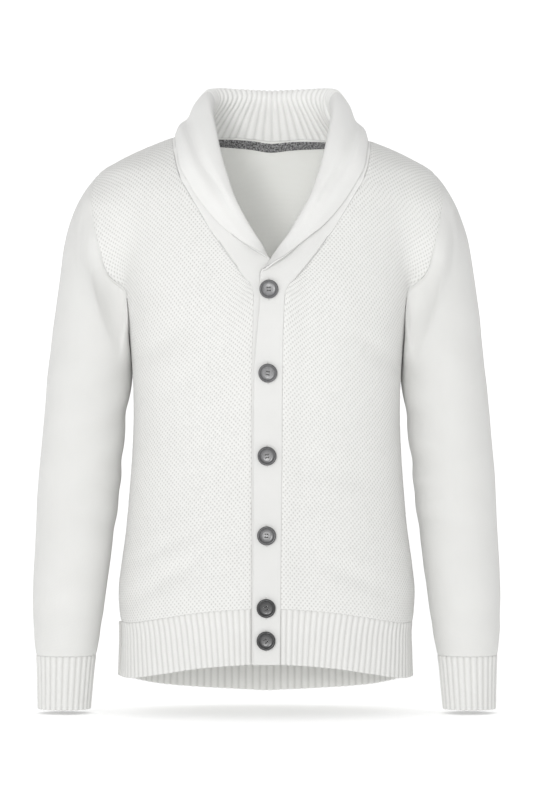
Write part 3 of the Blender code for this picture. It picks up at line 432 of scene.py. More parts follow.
def on_torso(angle, z):
    """The body's surface: angle 0 is the middle of the front, pi the middle of the back."""
    n = torso("power", z)
    s, c = np.sin(angle), np.cos(angle)
    depth = np.where(c > 0, torso("front", z), torso("back", z))
    x = torso("half_width", z) * np.sign(s) * np.abs(s) ** (2 / n)
    y = -depth * np.sign(c) * np.abs(c) ** (2 / n)
    return np.stack([x, y, z + 0 * x], axis=-1)


def angle_of(p):
    """The angle of on_torso for points on or near the surface."""
    x, y, z = p[..., 0], p[..., 1], p[..., 2]
    n = torso("power", z)
    depth = np.where(y < 0, torso("front", z), torso("back", z))
    s = (np.abs(x) / torso("half_width", z)) ** (n / 2)
    c = (np.abs(y) / depth) ** (n / 2)
    return np.where(y < 0, np.arctan2(s, c), math.pi - np.arctan2(s, c)) * np.sign(x)


def front_y(x, z):
    """How far forward the body's front lies at x and z."""
    n = torso("power", z)
    inside = np.maximum(1 - (np.abs(x) / torso("half_width", z)) ** n, 0)
    return -torso("front", z) * inside ** (1 / n)


# ---------------------------------------------------------------- seam lines
SEAM_STOPS = {}


def armhole(turn, side):
    """Armhole seam: turn 0 is the shoulder tip, 0.25 the front, 0.5 the underarm, 0.75 the back."""
    middle = (SHOULDER_TIP_Z + UNDERARM_Z) / 2
    rise = (SHOULDER_TIP_Z - UNDERARM_Z) / 2
    a = 2 * math.pi * np.asarray(turn, float)
    z = middle + rise * np.cos(a)
    y = -ARMHOLE_HALF_DEPTH * np.sin(a) * (1 - 0.10 * np.cos(a))
    guess = np.stack([side * armhole_x("x", z), y, z], axis=-1)
    seam = guess.copy()
    for _ in range(12):
        g = slope_of(form_field, seam)
        g[..., 2] = 0
        size = np.maximum((g * g).sum(-1), 0.05)
        seam = seam - np.clip(form_field(seam) / size, -8, 8)[..., None] * g
    return seam


def neck_seam_stops(side):
    """Whole stations of the collar seam, on the body."""
    station = np.arange(len(COLLAR))
    z = collar("seam_z", station)
    x = side * collar("seam_x", station) + shift_x("x", z)
    return settle(form_field, np.stack([x, collar("seam_y", station), z], axis=-1))


def neck_seam(station, side):
    """Seam of collar and body, from the top button round to the middle of the back neck."""
    stops = SEAM_STOPS.setdefault(side, None)
    if stops is None:
        stops = SEAM_STOPS[side] = neck_seam_stops(side)
    at = np.arange(len(stops))
    return np.stack([np.interp(station, at, stops[:, k]) for k in range(3)], axis=-1)


def shoulder_seam(side, count):
    """From the collar seam out to the shoulder tip."""
    start, end = neck_seam(SHOULDER_STATION, side), armhole(np.array([0.0]), side)[0]
    t = np.linspace(0, 1, 25)[:, None]
    return spread(settle(form_field, start + (end - start) * t), count)


def band_seam(z, side):
    x = side * band("seam", z) + shift_x("x", z)
    return np.stack([x, front_y(x, z), z + 0 * x], axis=-1)


def hem_z(angle):
    """Lowest edge of the hem: highest at the middle of the front, lowest at the back."""
    a = np.abs(angle) / math.pi
    return smooth(a, column(HEM_LEVELS, HEM_COLUMNS, "angle"), column(HEM_LEVELS, HEM_COLUMNS, "z"))


def rib_top_z(angle):
    return hem_z(angle) + HEM_HEIGHT


# ---------------------------------------------------------------- materials
class Value:
    """A value worked out in the shader, which adds, subtracts and multiplies like a number."""

    def __init__(self, look, socket):
        self.look, self.socket = look, socket

    def __add__(self, other):
        return self.look.calc("ADD", self, other)

    def __sub__(self, other):
        return self.look.calc("SUBTRACT", self, other)

    def __rsub__(self, other):
        return self.look.calc("SUBTRACT", other, self)

    def __mul__(self, other):
        return self.look.calc("MULTIPLY", self, other)

    def __pow__(self, other):
        return self.look.calc("POWER", self, other)

    def __abs__(self):
        return self.look.calc("ABSOLUTE", self)


class Look:
    """A node material put together by short calls."""

    def __init__(self, name, roughness, sheen=0.0):
        self.material = bpy.data.materials.new(name)
        self.material.use_nodes = True
        self.nodes, self.links = self.material.node_tree.nodes, self.material.node_tree.links
        self.shader = self.nodes["Principled BSDF"]
        self.set({"Roughness": roughness, "Sheen Weight": sheen, "Sheen Roughness": 0.5})

    def set(self, values):
        for name, value in values.items():
            self.shader.inputs[name].default_value = value

    def feed(self, socket, value):
        if isinstance(value, Value):
            self.links.new(value.socket, socket)
        else:
            socket.default_value = value

    def node(self, kind, inputs=None, out=0, **settings):
        """Adds a node with its settings and inputs, and gives one of its outputs."""
        made = self.nodes.new(kind)
        for name, value in settings.items():
            setattr(made, name, value)
        for name, value in (inputs or {}).items():
            self.feed(made.inputs[name], value)
        return Value(self, made.outputs[out])

    def calc(self, operation, *values):
        return self.node("ShaderNodeMath", dict(enumerate(values)), operation=operation)

    def wave(self, at, turns=1.0):
        """Cosine of a position, turns waves for each unit."""
        return self.calc("COSINE", at * (2 * math.pi * turns))

    def ramp(self, value, low, high):
        """From 0 at low to 1 at high."""
        inputs = {"Value": value, "From Min": low, "From Max": high}
        return self.node("ShaderNodeMapRange", inputs, clamp=True)

    def blend(self, share, a, b):
        """A colour between two, each three numbers or a value."""
        a, b = ((*c, 1) if isinstance(c, tuple) else c for c in (a, b))
        return self.node("ShaderNodeMix", {0: share, 6: a, 7: b}, out=2, data_type="RGBA")

    def stitches(self):
        """The cloth's stitch coordinates: both together, across and along."""
        uv = self.node("ShaderNodeUVMap", uv_map="stitches")
        apart = self.node("ShaderNodeSeparateXYZ", {0: uv}).socket.node
        return uv, Value(self, apart.outputs[0]), Value(self, apart.outputs[1])

    def noise(self, vector, scale, detail=2.0, roughness=0.5):
        inputs = {"Vector": vector, "Scale": scale, "Detail": detail, "Roughness": roughness}
        return self.node("ShaderNodeTexNoise", inputs, out="Fac")

    def place(self):
        return self.node("ShaderNodeTexCoord", out="Object")

    def bump(self, height, distance, strength=1.0, under=None):
        inputs = {"Strength": strength, "Distance": distance, "Height": height}
        if under is not None:
            inputs["Normal"] = under
        return self.node("ShaderNodeBump", inputs)

    def finish(self, colour, normal):
        self.feed(self.shader.inputs["Base Color"], colour)
        self.feed(self.shader.inputs["Normal"], normal)
        return self.material


# painted shade: the darker tone put into the low parts of the stitches
def painted_shade_tone(tone):
    return tuple(c * d for c, d in zip(tone, PAINTED_SHADE_SHARE))


def knit_look(name, pattern, tone, shade, relief, top_light_tone=None, painted_glow=0.0):
    """Off-white knitted cloth: pattern gives the height and the shaded share at each stitch."""
    look = Look(name, KNIT_ROUGH, KNIT_SHEEN)
    uv, u, v = look.stitches()
    height, dark = pattern(look, u, v)
    cloudy = look.noise(look.place(), 24.0, 2.0)
    fleck = look.noise(uv, 3.1, 3.0, 0.6)
    share = dark * shade + (fleck - 0.5) * FLECK_SHARE + (cloudy - 0.5) * CLOUD_SHARE
    share = look.calc("MINIMUM", look.calc("MAXIMUM", share, 0.0), 1.0)
    colour = look.blend(share, tone, painted_shade_tone(tone))
    # painted top light: higher up, the colour turns to the lighter tone
    if top_light_tone:
        above = look.node("ShaderNodeSeparateXYZ", {0: look.place()}, out=2)
        high = look.blend(share, top_light_tone, painted_shade_tone(top_light_tone))
        colour = look.blend(look.ramp(above, TOP_LIGHT_FROM, TOP_LIGHT_FULL), colour, high)
    # painted light: the cloth glows in its own tone
    if painted_glow:
        look.set({"Emission Color": (*tone, 1), "Emission Strength": painted_glow})
    hairs = look.bump(look.noise(look.place(), 1400.0, 2.0, 0.7), FUZZ_RELIEF, 0.5)
    return look.finish(colour, look.bump(height, relief, 1.0, hairs))


def seed_pattern(look, u, v):
    """Raised and sunk stitches like a chessboard, the sunk ones shaded."""
    chess = look.wave(u, 0.5) * look.wave(v, 0.5)
    height = chess * 0.8 + look.wave(u * 2.0 + v * 3.0) * 0.12
    return height, look.calc("MAXIMUM", chess * -1.0, 0.0) ** 1.3


def plain_pattern(look, u, v):
    """Columns of V stitches, with painted shade where they lie low."""
    beside = abs(look.calc("FRACT", u) - 0.5)
    legs = abs(look.calc("SINE", beside * (2 * math.pi)))
    height = legs * (look.wave(v - beside * 1.1) * 0.28 + 0.72)
    return height, 1.0 - height


def reverse_pattern(look, u, v):
    """The back of plain knit: level rows of small arcs, with painted shade where they lie low."""
    height = look.wave(v + look.wave(u) * 0.16) * 0.5 + 0.5
    return height, 1.0 - height


def rib_pattern(look, u, v):
    """Ribs of three columns with a shaded groove between."""
    stitch, between = plain_pattern(look, u * 3.0, v)
    groove = (look.wave(u) * 0.5 + 0.5) ** 3.0
    return stitch, groove + between * 0.12


def tape_look(name):
    """Dark grey flecked twill."""
    look = Look(name, 0.9, 0.15)
    uv, u, v = look.stitches()
    twill = look.wave(u + v, 0.8)
    fleck = look.noise(uv, 0.42, 2.0, 0.7)
    colour = look.node("ShaderNodeValToRGB", {0: fleck})
    dark, light = colour.socket.node.color_ramp.elements
    dark.position, dark.color = 0.40, (*TAPE_DARK, 1)
    light.position, light.color = 0.62, (*TAPE_LIGHT, 1)
    return look.finish(colour, look.bump(twill + fleck, 0.0003))


def button_look(number):
    """Dark horn-like plastic, cloudy, each button its own pattern, darker towards the bottom, its rim
    darkened as painted shade.
    """
    look = Look("button_horn_%d" % number, 0.34)
    look.set({"Coat Weight": 0.25, "Coat Roughness": 0.15})
    spot = {"Location": (0.31 * number, 0.17 * number, 0.0), "Vector": look.place()}
    spot = look.node("ShaderNodeMapping", spot)
    swirl = {"Vector": spot, "Scale": 60.0, "Distortion": 9.0, "Detail": 3.0, "Detail Scale": 1.4}
    swirl = look.node("ShaderNodeTexWave", swirl, out="Fac")
    share = look.noise(spot, 170.0, 4.0, 0.62) * 0.75 + swirl * 0.25
    _, u, v = look.stitches()
    # painted shade: darker towards the rim
    rim = look.ramp(look.calc("SQRT", u * u + v * v), *BUTTON_RIM_SHADE)
    tone = BUTTON_TONES[number - 1]
    centre, edge = (
        look.blend(share, *(tuple(tone * c for c in shade) for shade in shades))
        for shades in (HORN_CENTRE, HORN_EDGE_SHADE)
    )
    scratch = look.noise(look.place(), 900.0, 2.0)
    return look.finish(look.blend(rim, centre, edge), look.bump(scratch, 0.00004, 0.5))


def cloth_thread_look(name, tone):
    look = Look(name, 0.85, 0.1)
    strand = look.noise(look.place(), 2200.0, 2.0)
    colour = look.blend(strand, tone, tuple(c * 0.7 for c in tone))
    return look.finish(colour, look.bump(strand, 0.0002))


def stage_look(name):
    """Pale floor that stays bright, with a faint tooth."""
    look = Look(name, 0.9)
    look.set({"Emission Color": (1, 1, 1, 1), "Emission Strength": FLOOR_GLOW})
    grain = look.noise(look.place(), 40.0, 2.0)
    return look.finish(look.blend(grain, *FLOOR_TONES), look.bump(grain, 0.0001))


# One row a look: name, pattern, tone, shade, relief in metres, and what else it has
LOOK_ROWS = (
    ("seed", "seed_knit", seed_pattern, KNIT_TONE, 0.75, 0.00012, {}),
    ("plain", "plain_knit", plain_pattern, KNIT_TONE, 0.18, 0.00016, {}),
    ("band", "band_knit", plain_pattern, BAND_TONE, 0.12, 0.00008, {"top_light_tone": TOP_LIGHT_TONE}),
    ("inside", "inside_knit", reverse_pattern, KNIT_TONE, 0.26, 0.00012, {}),
    # The insides and the back collar's ribs are lighter than the knit, as painted light; the back's inside
    # also glows as painted light.
    ("back_inside", "back_inside_knit", reverse_pattern, INSIDE_PAINTED_LIGHT_TONE, 0.26, 0.00012,
     {"painted_glow": INSIDE_PAINTED_GLOW}),
    ("rib", "rib_knit", rib_pattern, KNIT_TONE, 0.42, 0.00010, {}),
    ("rib_inside", "rib_inside_knit", rib_pattern, HEM_INSIDE_PAINTED_LIGHT_TONE, 0.45, 0.00010, {}),
    ("collar_rib", "collar_rib_knit", rib_pattern, COLLAR_RIB_PAINTED_LIGHT_TONE, 0.36, 0.00010, {}),
)
LOOK = {key: knit_look(*row, **more) for key, *row, more in LOOK_ROWS}
LOOK["tape"] = tape_look("tape_twill")


# ---------------------------------------------------------------- dense surfaces
def cubic(values, at):
    """A smooth line through values, read at fractional positions along the first axis."""
    padded = np.concatenate([2 * values[:1] - values[1:2], values, 2 * values[-1:] - values[-2:-1]])
    i = np.clip(np.floor(at).astype(int), 0, len(values) - 2)
    t = (at - i).reshape((-1,) + (1,) * (values.ndim - 1))
    a, b, c, d = (padded[i + k] for k in range(4))
    return b + t / 2 * (c - a + t * (2 * a - 5 * b + 4 * c - d + t * (3 * (b - c) + d - a)))


def upsampled(grid, at_rows, at_cols):
    return cubic(cubic(grid, at_rows).swapaxes(0, 1), at_cols).swapaxes(0, 1)


def lengths(lines):
    """Running length along each line of points: the last two axes are the points and x, y, z."""
    steps = np.linalg.norm(np.diff(lines, axis=-2), axis=-1)
    return np.concatenate([np.zeros(steps.shape[:-1] + (1,)), np.cumsum(steps, axis=-1)], axis=-1)


def climbs(grid):
    """Running length down each column of a grid."""
    return lengths(grid.swapaxes(0, 1)).swapaxes(0, 1)


def even_rows(grid, pitch):
    """Fractional rows of a coarse grid that lie one pitch apart, on average over its columns."""
    fine = np.linspace(0, len(grid) - 1, 12 * len(grid))
    run = lengths(cubic(grid, fine).swapaxes(0, 1)).mean(axis=0)
    count = max(int(round(run[-1] / pitch)), 2)
    return np.interp(np.linspace(0, run[-1], count + 1), run, fine)


def resampled(line, at):
    """Points of a line at given lengths along it."""
    run = lengths(line)
    return np.stack([np.interp(at, run, line[:, k]) for k in range(3)], axis=1)


def edge_stops(length, pitch, rounded_start, rounded_end):
    """Lengths across a strip, with a few close together where an edge is rounded."""
    start = [s * EDGE_ROUND for s in ROUND_STOPS] if rounded_start else [0.0]
    end = [length - s * EDGE_ROUND for s in ROUND_STOPS[::-1]] if rounded_end else [length]
    inner = np.linspace(start[-1], end[0], max(int(round((end[0] - start[-1]) / pitch)), 2) + 1)
    return np.concatenate([start[:-1], inner, end[1:]])


def fullness(distance):
    """Share of the cloth's half thickness at a distance from a rounded edge."""
    reach = np.clip(distance / EDGE_ROUND, 0, 1)
    return np.sqrt(np.clip(1 - (1 - reach) ** 2, 0, 1)) * 0.97 + 0.03


def seam_dip(distance):
    """How far cloth sinks beside a sewn edge."""
    return SEAM_DIP * (1 - ease(distance / SEAM_REACH))


# ---------------------------------------------------------------- meshes
def cells(rows, cols, wrap=False):
    """Corner ids of each four-sided cell of a grid, and the row and column of each corner."""
    i, j = np.meshgrid(np.arange(rows - 1), np.arange(cols if wrap else cols - 1), indexing="ij")
    i, j = i.ravel(), j.ravel()
    corner = np.stack([i, j, i, j + 1, i + 1, j + 1, i + 1, j], axis=1).reshape(-1, 4, 2)
    return corner[..., 0] * cols + corner[..., 1] % cols, corner


def border(rows, cols):
    """The four sides of a grid in the direction its faces turn."""
    ids = np.arange(rows * cols).reshape(rows, cols)
    return [ids[0], ids[:, -1], ids[-1][::-1], ids[:, 0][::-1]]


def zipped(points, outer, inner):
    """Triangles that close the rim between one side of the outer sheet and of the inner one."""
    at_outer, at_inner = (lengths(points[side]) for side in (outer, inner))
    at_outer, at_inner = at_outer / at_outer[-1], at_inner / at_inner[-1]
    faces, i, j = [], 0, 0
    while i < len(outer) - 1 or j < len(inner) - 1:
        if j == len(inner) - 1 or (i < len(outer) - 1 and at_outer[i + 1] <= at_inner[j + 1]):
            faces.append((outer[i + 1], outer[i], inner[j]))
            i += 1
        else:
            faces.append((inner[j], inner[j + 1], outer[i]))
            j += 1
    return np.array(faces)


def outward(points, parts):
    """Signed volume of a mesh: positive where its faces point out."""
    total = 0.0
    for faces, _, _ in parts:
        corners = points[faces]
        for k in range(1, faces.shape[1] - 1):
            total += np.einsum("ij,ij->", corners[:, 0], np.cross(corners[:, k], corners[:, k + 1]))
    return total


def shown(name, mesh, materials):
    """Puts a mesh in the scene, smooth and with its materials."""
    mesh.polygons.foreach_set("use_smooth", np.ones(len(mesh.polygons), bool))
    for material in materials:
        mesh.materials.append(material)
    piece = bpy.data.objects.new(name, mesh)
    bpy.context.scene.collection.objects.link(piece)
    return piece


def mesh_piece(name, points, parts, materials):
    """A mesh from points in millimetres and parts of (faces, UV of each corner, material number)."""
    if outward(points, parts) < 0:
        parts = [(faces[:, ::-1], uv[:, ::-1], number) for faces, uv, number in parts]
    mesh = bpy.data.meshes.new(name)
    sizes = np.concatenate([np.full(len(faces), faces.shape[1]) for faces, _, _ in parts])
    mesh.vertices.add(len(points))
    mesh.vertices.foreach_set("co", (points * MM).astype(np.float32).ravel())
    mesh.loops.add(int(sizes.sum()))
    corner_ids = np.concatenate([faces.ravel() for faces, _, _ in parts])
    mesh.loops.foreach_set("vertex_index", corner_ids.astype(np.int32))
    mesh.polygons.add(len(sizes))
    starts = np.concatenate([[0], np.cumsum(sizes)[:-1]])
    mesh.polygons.foreach_set("loop_start", starts.astype(np.int32))
    numbers = np.concatenate([np.full(len(faces), number) for faces, _, number in parts])
    mesh.polygons.foreach_set("material_index", numbers.astype(np.int32))
    layer = mesh.uv_layers.new(name="stitches")
    spots = np.concatenate([uv.reshape(-1, 2) for _, uv, _ in parts])
    layer.uv.foreach_set("vector", spots.astype(np.float32).ravel())
    mesh.update(calc_edges=True)
    return shown(name, mesh, materials)


def shell(name, outer, inner, outer_uv, inner_uv, materials, wrap=False):
    """One closed piece of cloth between two grids, whose sides need not have equal counts."""
    shapes, base = (outer.shape[:2], inner.shape[:2]), outer.shape[0] * outer.shape[1]
    points = np.concatenate([outer.reshape(-1, 3), inner.reshape(-1, 3)])
    faces, corner = cells(*shapes[0], wrap)
    parts = [(faces, outer_uv[corner[..., 0], corner[..., 1]], 0)]
    faces, corner = cells(*shapes[1], wrap)
    parts.append((faces[:, ::-1] + base, inner_uv[corner[..., 0], corner[..., 1]][:, ::-1], 1))
    sides = [border(*shape) for shape in shapes]
    if wrap:
        sides = [[np.append(s[0], s[0][0]), np.append(s[2], s[2][0])] for s in sides]
    for long_side, short_side in zip(*sides):
        rim = zipped(points, long_side, short_side + base)
        parts.append((rim, np.zeros((len(rim), 3, 2)), 1))
    return mesh_piece(name, points, parts, materials)


def thinned(count, keep):
    """Evenly chosen whole positions, both ends among them."""
    return np.unique(np.round(np.linspace(0, count - 1, keep)).astype(int))


def knit_uv(grid, stitch, wrap_start=None):
    """Stitch coordinates of a grid: columns across, courses along, measured on the cloth."""
    across = lengths(grid)
    across -= across[:, :1] if wrap_start is None else across[:, -1:] * wrap_start
    up = lengths(grid.swapaxes(0, 1)).mean(axis=0)[:, None] + np.zeros_like(across)
    return np.stack([across / stitch[0], up / stitch[1]], axis=-1)


# ---------------------------------------------------------------- folds and unevenness
def fold_depth(p):
    """How far the creases draw the body in at each point."""
    total = np.zeros(p.shape[:-1])
    for face, x, z, half_length, half_height, slant, depth in BODY_FOLDS:
        beside = p[..., 0] - x
        along = np.exp(-((beside / half_length) ** 2))
        across = np.exp(-(((p[..., 2] - z - slant * beside) / half_height) ** 2))
        total += depth * along * across * (p[..., 1] * face > 0)
    return total * ease((np.abs(p[..., 1]) - 10) / 40)


def ripple(p, seed):
    """Slow unevenness of hand-smoothed cloth, about a millimetre deep."""
    draw = np.random.default_rng(seed)
    total = np.zeros(p.shape[:-1])
    for size in RIPPLE_SIZES:
        for _ in range(WAVES_A_SIZE):
            way = draw.normal(size=3)
            way /= np.linalg.norm(way)
            turn = 2 * math.pi * (p @ way) / size + draw.uniform(0, 2 * math.pi)
            total += size / 95 * np.sin(turn)
    return total / 6 * RIPPLE


def lap_level(p, side):
    """The left front and its hem climb to the left band, which laps over the right one."""
    if side < 0:
        return np.zeros(p.shape[:-1])
    z = p[..., 2]
    near = ease(1 - (p[..., 0] - shift_x("x", z) - band("seam", z)) / LAP_BLEND)
    return LAP_RISE * near * ease((-150 - z) / 50)


# ---------------------------------------------------------------- fronts
def curl_of(angle):
    rib = rib_top_z(angle)
    return rib - rib[0] - (rib[-1] - rib[0]) * np.linspace(0, 1, len(angle))


def panel_row(start, end, cols, droop):
    """One row of a body panel, from seam to seam over the filled-out form."""
    t = np.linspace(0, 1, 49)
    low, high = angle_of(start), angle_of(end)
    angle = low + (high - low) * t
    z = start[2] + (end[2] - start[2]) * t + droop * curl_of(angle)
    line = settle(form_field, on_torso(angle, z), rounds=6)
    line += (1 - t)[:, None] * (start - line[0]) + t[:, None] * (end - line[-1])
    return spread(line, cols)


def relaxed(grid, rounds=12):
    for _ in range(rounds):
        middle = (grid[:-2, 1:-1] + grid[2:, 1:-1] + grid[1:-1, :-2] + grid[1:-1, 2:]) / 4
        grid[1:-1, 1:-1] = settle(form_field, middle, rounds=3)
    return grid


def front_base(side, cols=11, below=10):
    """Coarse rows of a front over the form, from the hem rib up to the shoulder."""
    low_in = np.linspace(rib_top_z(0.1), BAND[-1][0], below)
    low_out = np.linspace(rib_top_z(math.pi / 2), UNDERARM_Z, below + 1)[:-1]
    stations = np.arange(SHOULDER_STATION)
    turns = 0.5 * (1 - stations / SHOULDER_STATION)
    inner = [band_seam(z, side) for z in low_in] + list(neck_seam(stations, side))
    outer = [np.array([side * torso("half_width", z), 0.0, z]) for z in low_out]
    outer += list(armhole(turns, side))
    fades = np.clip(1 - np.arange(len(inner)) / below, 0, 1)
    rows = [panel_row(a, b, cols, fade) for a, b, fade in zip(inner, outer, fades)]
    rows.append(spread(shoulder_seam(side, 40), cols))
    return relaxed(np.array(rows))


def seed_height(u, v):
    """Raised and sunk stitches of seed stitch, like a chessboard."""
    return np.cos(math.pi * u) * np.cos(math.pi * v)


def make_front(name, side):
    """A front whose points follow its stitches: two across and two up for each."""
    base = front_base(side)
    half_wide, half_tall = SEED_STITCH[0] / 2, SEED_STITCH[1] / 2
    rows_at = even_rows(base, half_tall)
    fine = upsampled(base, rows_at, np.linspace(0, base.shape[1] - 1, 8 * base.shape[1]))
    run = lengths(fine)
    points, local, ids, count = [], [], [], 0
    spans = []
    for line, along in zip(fine, run):
        out = np.abs(line[:, 0])
        anchor = np.interp(WALE_LINE_X, out, along) + min(WALE_LINE_X - out[0], 0)
        spans.append(((along[0] - anchor) / half_wide, (along[-1] - anchor) / half_wide))
    spans = np.array(spans)
    low, high = np.floor(spans[:, 0]).astype(int), np.ceil(spans[:, 1]).astype(int)
    columns = np.arange(low.min(), high.max() + 1)
    for row, (line, along) in enumerate(zip(fine, run)):
        mine = np.arange(low[row], high[row] + 1)
        u = np.clip(mine, *spans[row])
        at = (u - spans[row, 0]) * half_wide
        points.append(np.stack([np.interp(at, along, line[:, k]) for k in range(3)], axis=1))
        local.append(np.stack([u, np.full(len(u), row), at, along[-1] - at], axis=1))
        ids.append(count + np.clip(columns, low[row], high[row]) - low[row])
        count += len(mine)
    points, local, ids = np.concatenate(points), np.concatenate(local), np.array(ids)
    points = settle(form_field, points, rounds=2)
    normals = out_of_form(points)
    beside = np.minimum(local[:, 2], local[:, 3])
    below, above = local[:, 1] * half_tall, (len(fine) - 1 - local[:, 1]) * half_tall
    edge = np.minimum(beside, np.minimum(below, above))
    u, v = local[:, 0] / 2, local[:, 1] / 2
    draw = np.random.default_rng(11 + side)
    uneven = 1 + STITCH_UNEVEN * draw.standard_normal(len(u))
    relief = SEED_DEPTH * seed_height(u, v) * ease(edge / 4) * np.clip(uneven, 0.3, 1.7)
    lift = relief + lap_level(points, side) - fold_depth(points) * ease(edge / CREASE_FADE)
    lift += ripple(points, 3) * ease(edge / RIPPLE_FADE)
    stray = SEED_JITTER * draw.standard_normal(points.shape) * ease(edge / 4)[:, None]
    stray -= normals * (stray * normals).sum(-1, keepdims=True)
    outer = points + stray + normals * (lift - seam_dip(edge))[:, None]

    quads = np.stack([ids[:-1, :-1], ids[:-1, 1:], ids[1:, 1:], ids[1:, :-1]], axis=-1).reshape(-1, 4)
    same = quads == np.roll(quads, -1, axis=1)
    whole, three = quads[same.sum(axis=1) == 0], quads[same.sum(axis=1) == 1]
    gone = same[same.sum(axis=1) == 1]
    three = three[~gone].reshape(-1, 3)
    spot = np.stack([u, v], axis=1)

    tall, wide = FRONT_INSIDE
    inner_at = np.linspace(0, base.shape[0] - 1, tall), np.linspace(0, base.shape[1] - 1, wide)
    under = settle(form_field, upsampled(base, *inner_at), rounds=2)
    under_out = out_of_form(under)
    sunk = lap_level(under, side) - fold_depth(under) + ripple(under, 3) - BODY_WALL
    inner = (under + under_out * sunk[..., None]).reshape(-1, 3)
    faces, corner = cells(tall, wide)
    inner_uv = knit_uv(under, PLAIN_STITCH)[corner[..., 0], corner[..., 1]]
    all_points = np.concatenate([outer, inner])
    foot, head = (np.arange(row[0], row[-1] + 1) for row in (ids[0], ids[-1]))
    sides = [foot, ids[:, -1], head[::-1], ids[:, 0][::-1]]
    parts = [
        (whole, spot[whole], 0), (three, spot[three], 0),
        (faces[:, ::-1] + len(outer), inner_uv[:, ::-1], 1),
    ]
    for long_side, short_side in zip(sides, border(tall, wide)):
        rim = zipped(all_points, long_side, short_side + len(outer))
        parts.append((rim, np.zeros((len(rim), 3, 2)), 1))
    return mesh_piece(name, all_points, parts, [LOOK["seed"], LOOK["inside"]])


# ---------------------------------------------------------------- back and tape
def patch(bottom, top, left, right):
    s = np.linspace(0, 1, len(left))[:, None, None]
    u = np.linspace(0, 1, len(bottom))[None, :, None]
    corners = (
        (1 - s) * ((1 - u) * bottom[0] + u * bottom[-1])
        + s * ((1 - u) * top[0] + u * top[-1])
    )
    return (1 - s) * bottom[None] + s * top[None] + (1 - u) * left[:, None] + u * right[:, None] - corners


def back_level(z, sag, cols):
    t = np.linspace(0, 1, 97)
    angle = math.pi / 2 + math.pi * t
    folded = wrapped(angle)
    drop = rib_top_z(folded) - rib_top_z(math.pi / 2)
    return spread(on_torso(folded, z + sag * drop), cols)


def back_base(below=8, above=10):
    """Coarse rows of the back over the form, from the hem rib up to the shoulders and neck."""
    cols = 2 * BACK_SHOULDER_COLS + BACK_NECK_COLS
    side_top = rib_top_z(math.pi / 2)
    shares = np.arange(below + 1) / below
    low = [back_level(side_top + (UNDERARM_Z - side_top) * s, 1 - s, cols) for s in shares]
    half = np.linspace(SHOULDER_STATION, len(COLLAR) - 1, 33)
    neck = np.vstack([neck_seam(half, 1), neck_seam(half, -1)[::-1][1:]])
    left = spread(shoulder_seam(1, 40), BACK_SHOULDER_COLS)[::-1]
    right = spread(shoulder_seam(-1, 40), BACK_SHOULDER_COLS)
    top = np.vstack([left[:-1], spread(neck, BACK_NECK_COLS), right[1:]])
    turns = np.linspace(0.5, 1, above + 1)
    high = patch(low[-1], top, armhole(turns, 1), armhole(turns, -1))
    high[1:-1, 1:-1] = settle(form_field, high[1:-1, 1:-1])
    return relaxed(np.vstack([np.array(low[:-1]), high]))


def make_back(name):
    base = back_base()
    rows_at = even_rows(base, BACK_PITCH)
    near = [rows_at[1] * 0.3], [rows_at[-1] - 0.04]
    rows_at = np.concatenate([rows_at[:1], near[0], rows_at[1:-1], near[1], rows_at[-1:]])
    cols_at = np.linspace(0, base.shape[1] - 1, BACK_COLUMNS)
    cols_at = np.concatenate([cols_at[:1], [0.06], cols_at[1:-1], [cols_at[-1] - 0.06], cols_at[-1:]])
    grid = settle(form_field, upsampled(base, rows_at, cols_at), rounds=2)
    normals = out_of_form(grid)
    across, up = lengths(grid), climbs(grid)
    edge = np.minimum(np.minimum(across, across[:, -1:] - across), np.minimum(up, up[-1:] - up))
    creases = fold_depth(grid) * ease(edge / CREASE_FADE)
    bumps = ripple(grid, 5) * ease(edge / RIPPLE_FADE)
    outer = grid + normals * (bumps - creases - seam_dip(edge))[..., None]
    keep = np.ix_(*(thinned(count, kept) for count, kept in zip(grid.shape, BACK_INSIDE)))
    inner = (grid + normals * (bumps - creases - BODY_WALL)[..., None])[keep]
    uvs = (knit_uv(face, PLAIN_STITCH, 0.5) for face in (grid, inner))
    return shell(name, outer, inner, *uvs, [LOOK["plain"], LOOK["back_inside"]])


def make_tape(name):
    """Tape sewn inside the back, its upper edge along the collar seam."""
    base = back_base()
    cols_at = np.linspace(BACK_SHOULDER_COLS, base.shape[1] - 1 - BACK_SHOULDER_COLS, 160)
    fine = upsampled(base, np.linspace(len(base) - 3, len(base) - 1, 60), cols_at)
    stops = edge_stops(TAPE_HEIGHT, 0.9, True, True)
    columns = [resampled(line, stops + STAND_INSET) for line in fine[::-1].swapaxes(0, 1)]
    rows = np.stack(columns, axis=1)
    rows = settle(form_field, rows, rounds=2)
    normals = out_of_form(rows)
    edge = np.minimum(stops, TAPE_HEIGHT - stops)
    full = fullness(edge * 1.6)[:, None, None] * TAPE_THICK / 2
    middle = rows - normals * (BODY_WALL + SEAM_GAP + TAPE_THICK / 2)
    uv = knit_uv(rows, (1.0, 1.0))
    faces = (middle - normals * full, middle + normals * full)
    return shell(name, *faces, uv, uv, [LOOK["tape"], LOOK["tape"]])


# ---------------------------------------------------------------- ribs
def rib_relief(u):
    """Height of the rib at a position counted in ribs: round ridges, narrow grooves, from 0 to 1."""
    wave = 0.5 - 0.5 * np.cos(2 * math.pi * u)
    return wave ** 0.55


def hem_point(angle, down):
    z = rib_top_z(angle) + (hem_z(angle) - rib_top_z(angle)) * down
    return on_torso(angle, z)


def even_angles(start, end, shares, down):
    fine = np.linspace(start, end, 400)
    folded = wrapped(fine)
    run = lengths(hem_point(folded, down))
    at = np.interp(np.asarray(shares), run / run[-1], fine)
    return wrapped(at)


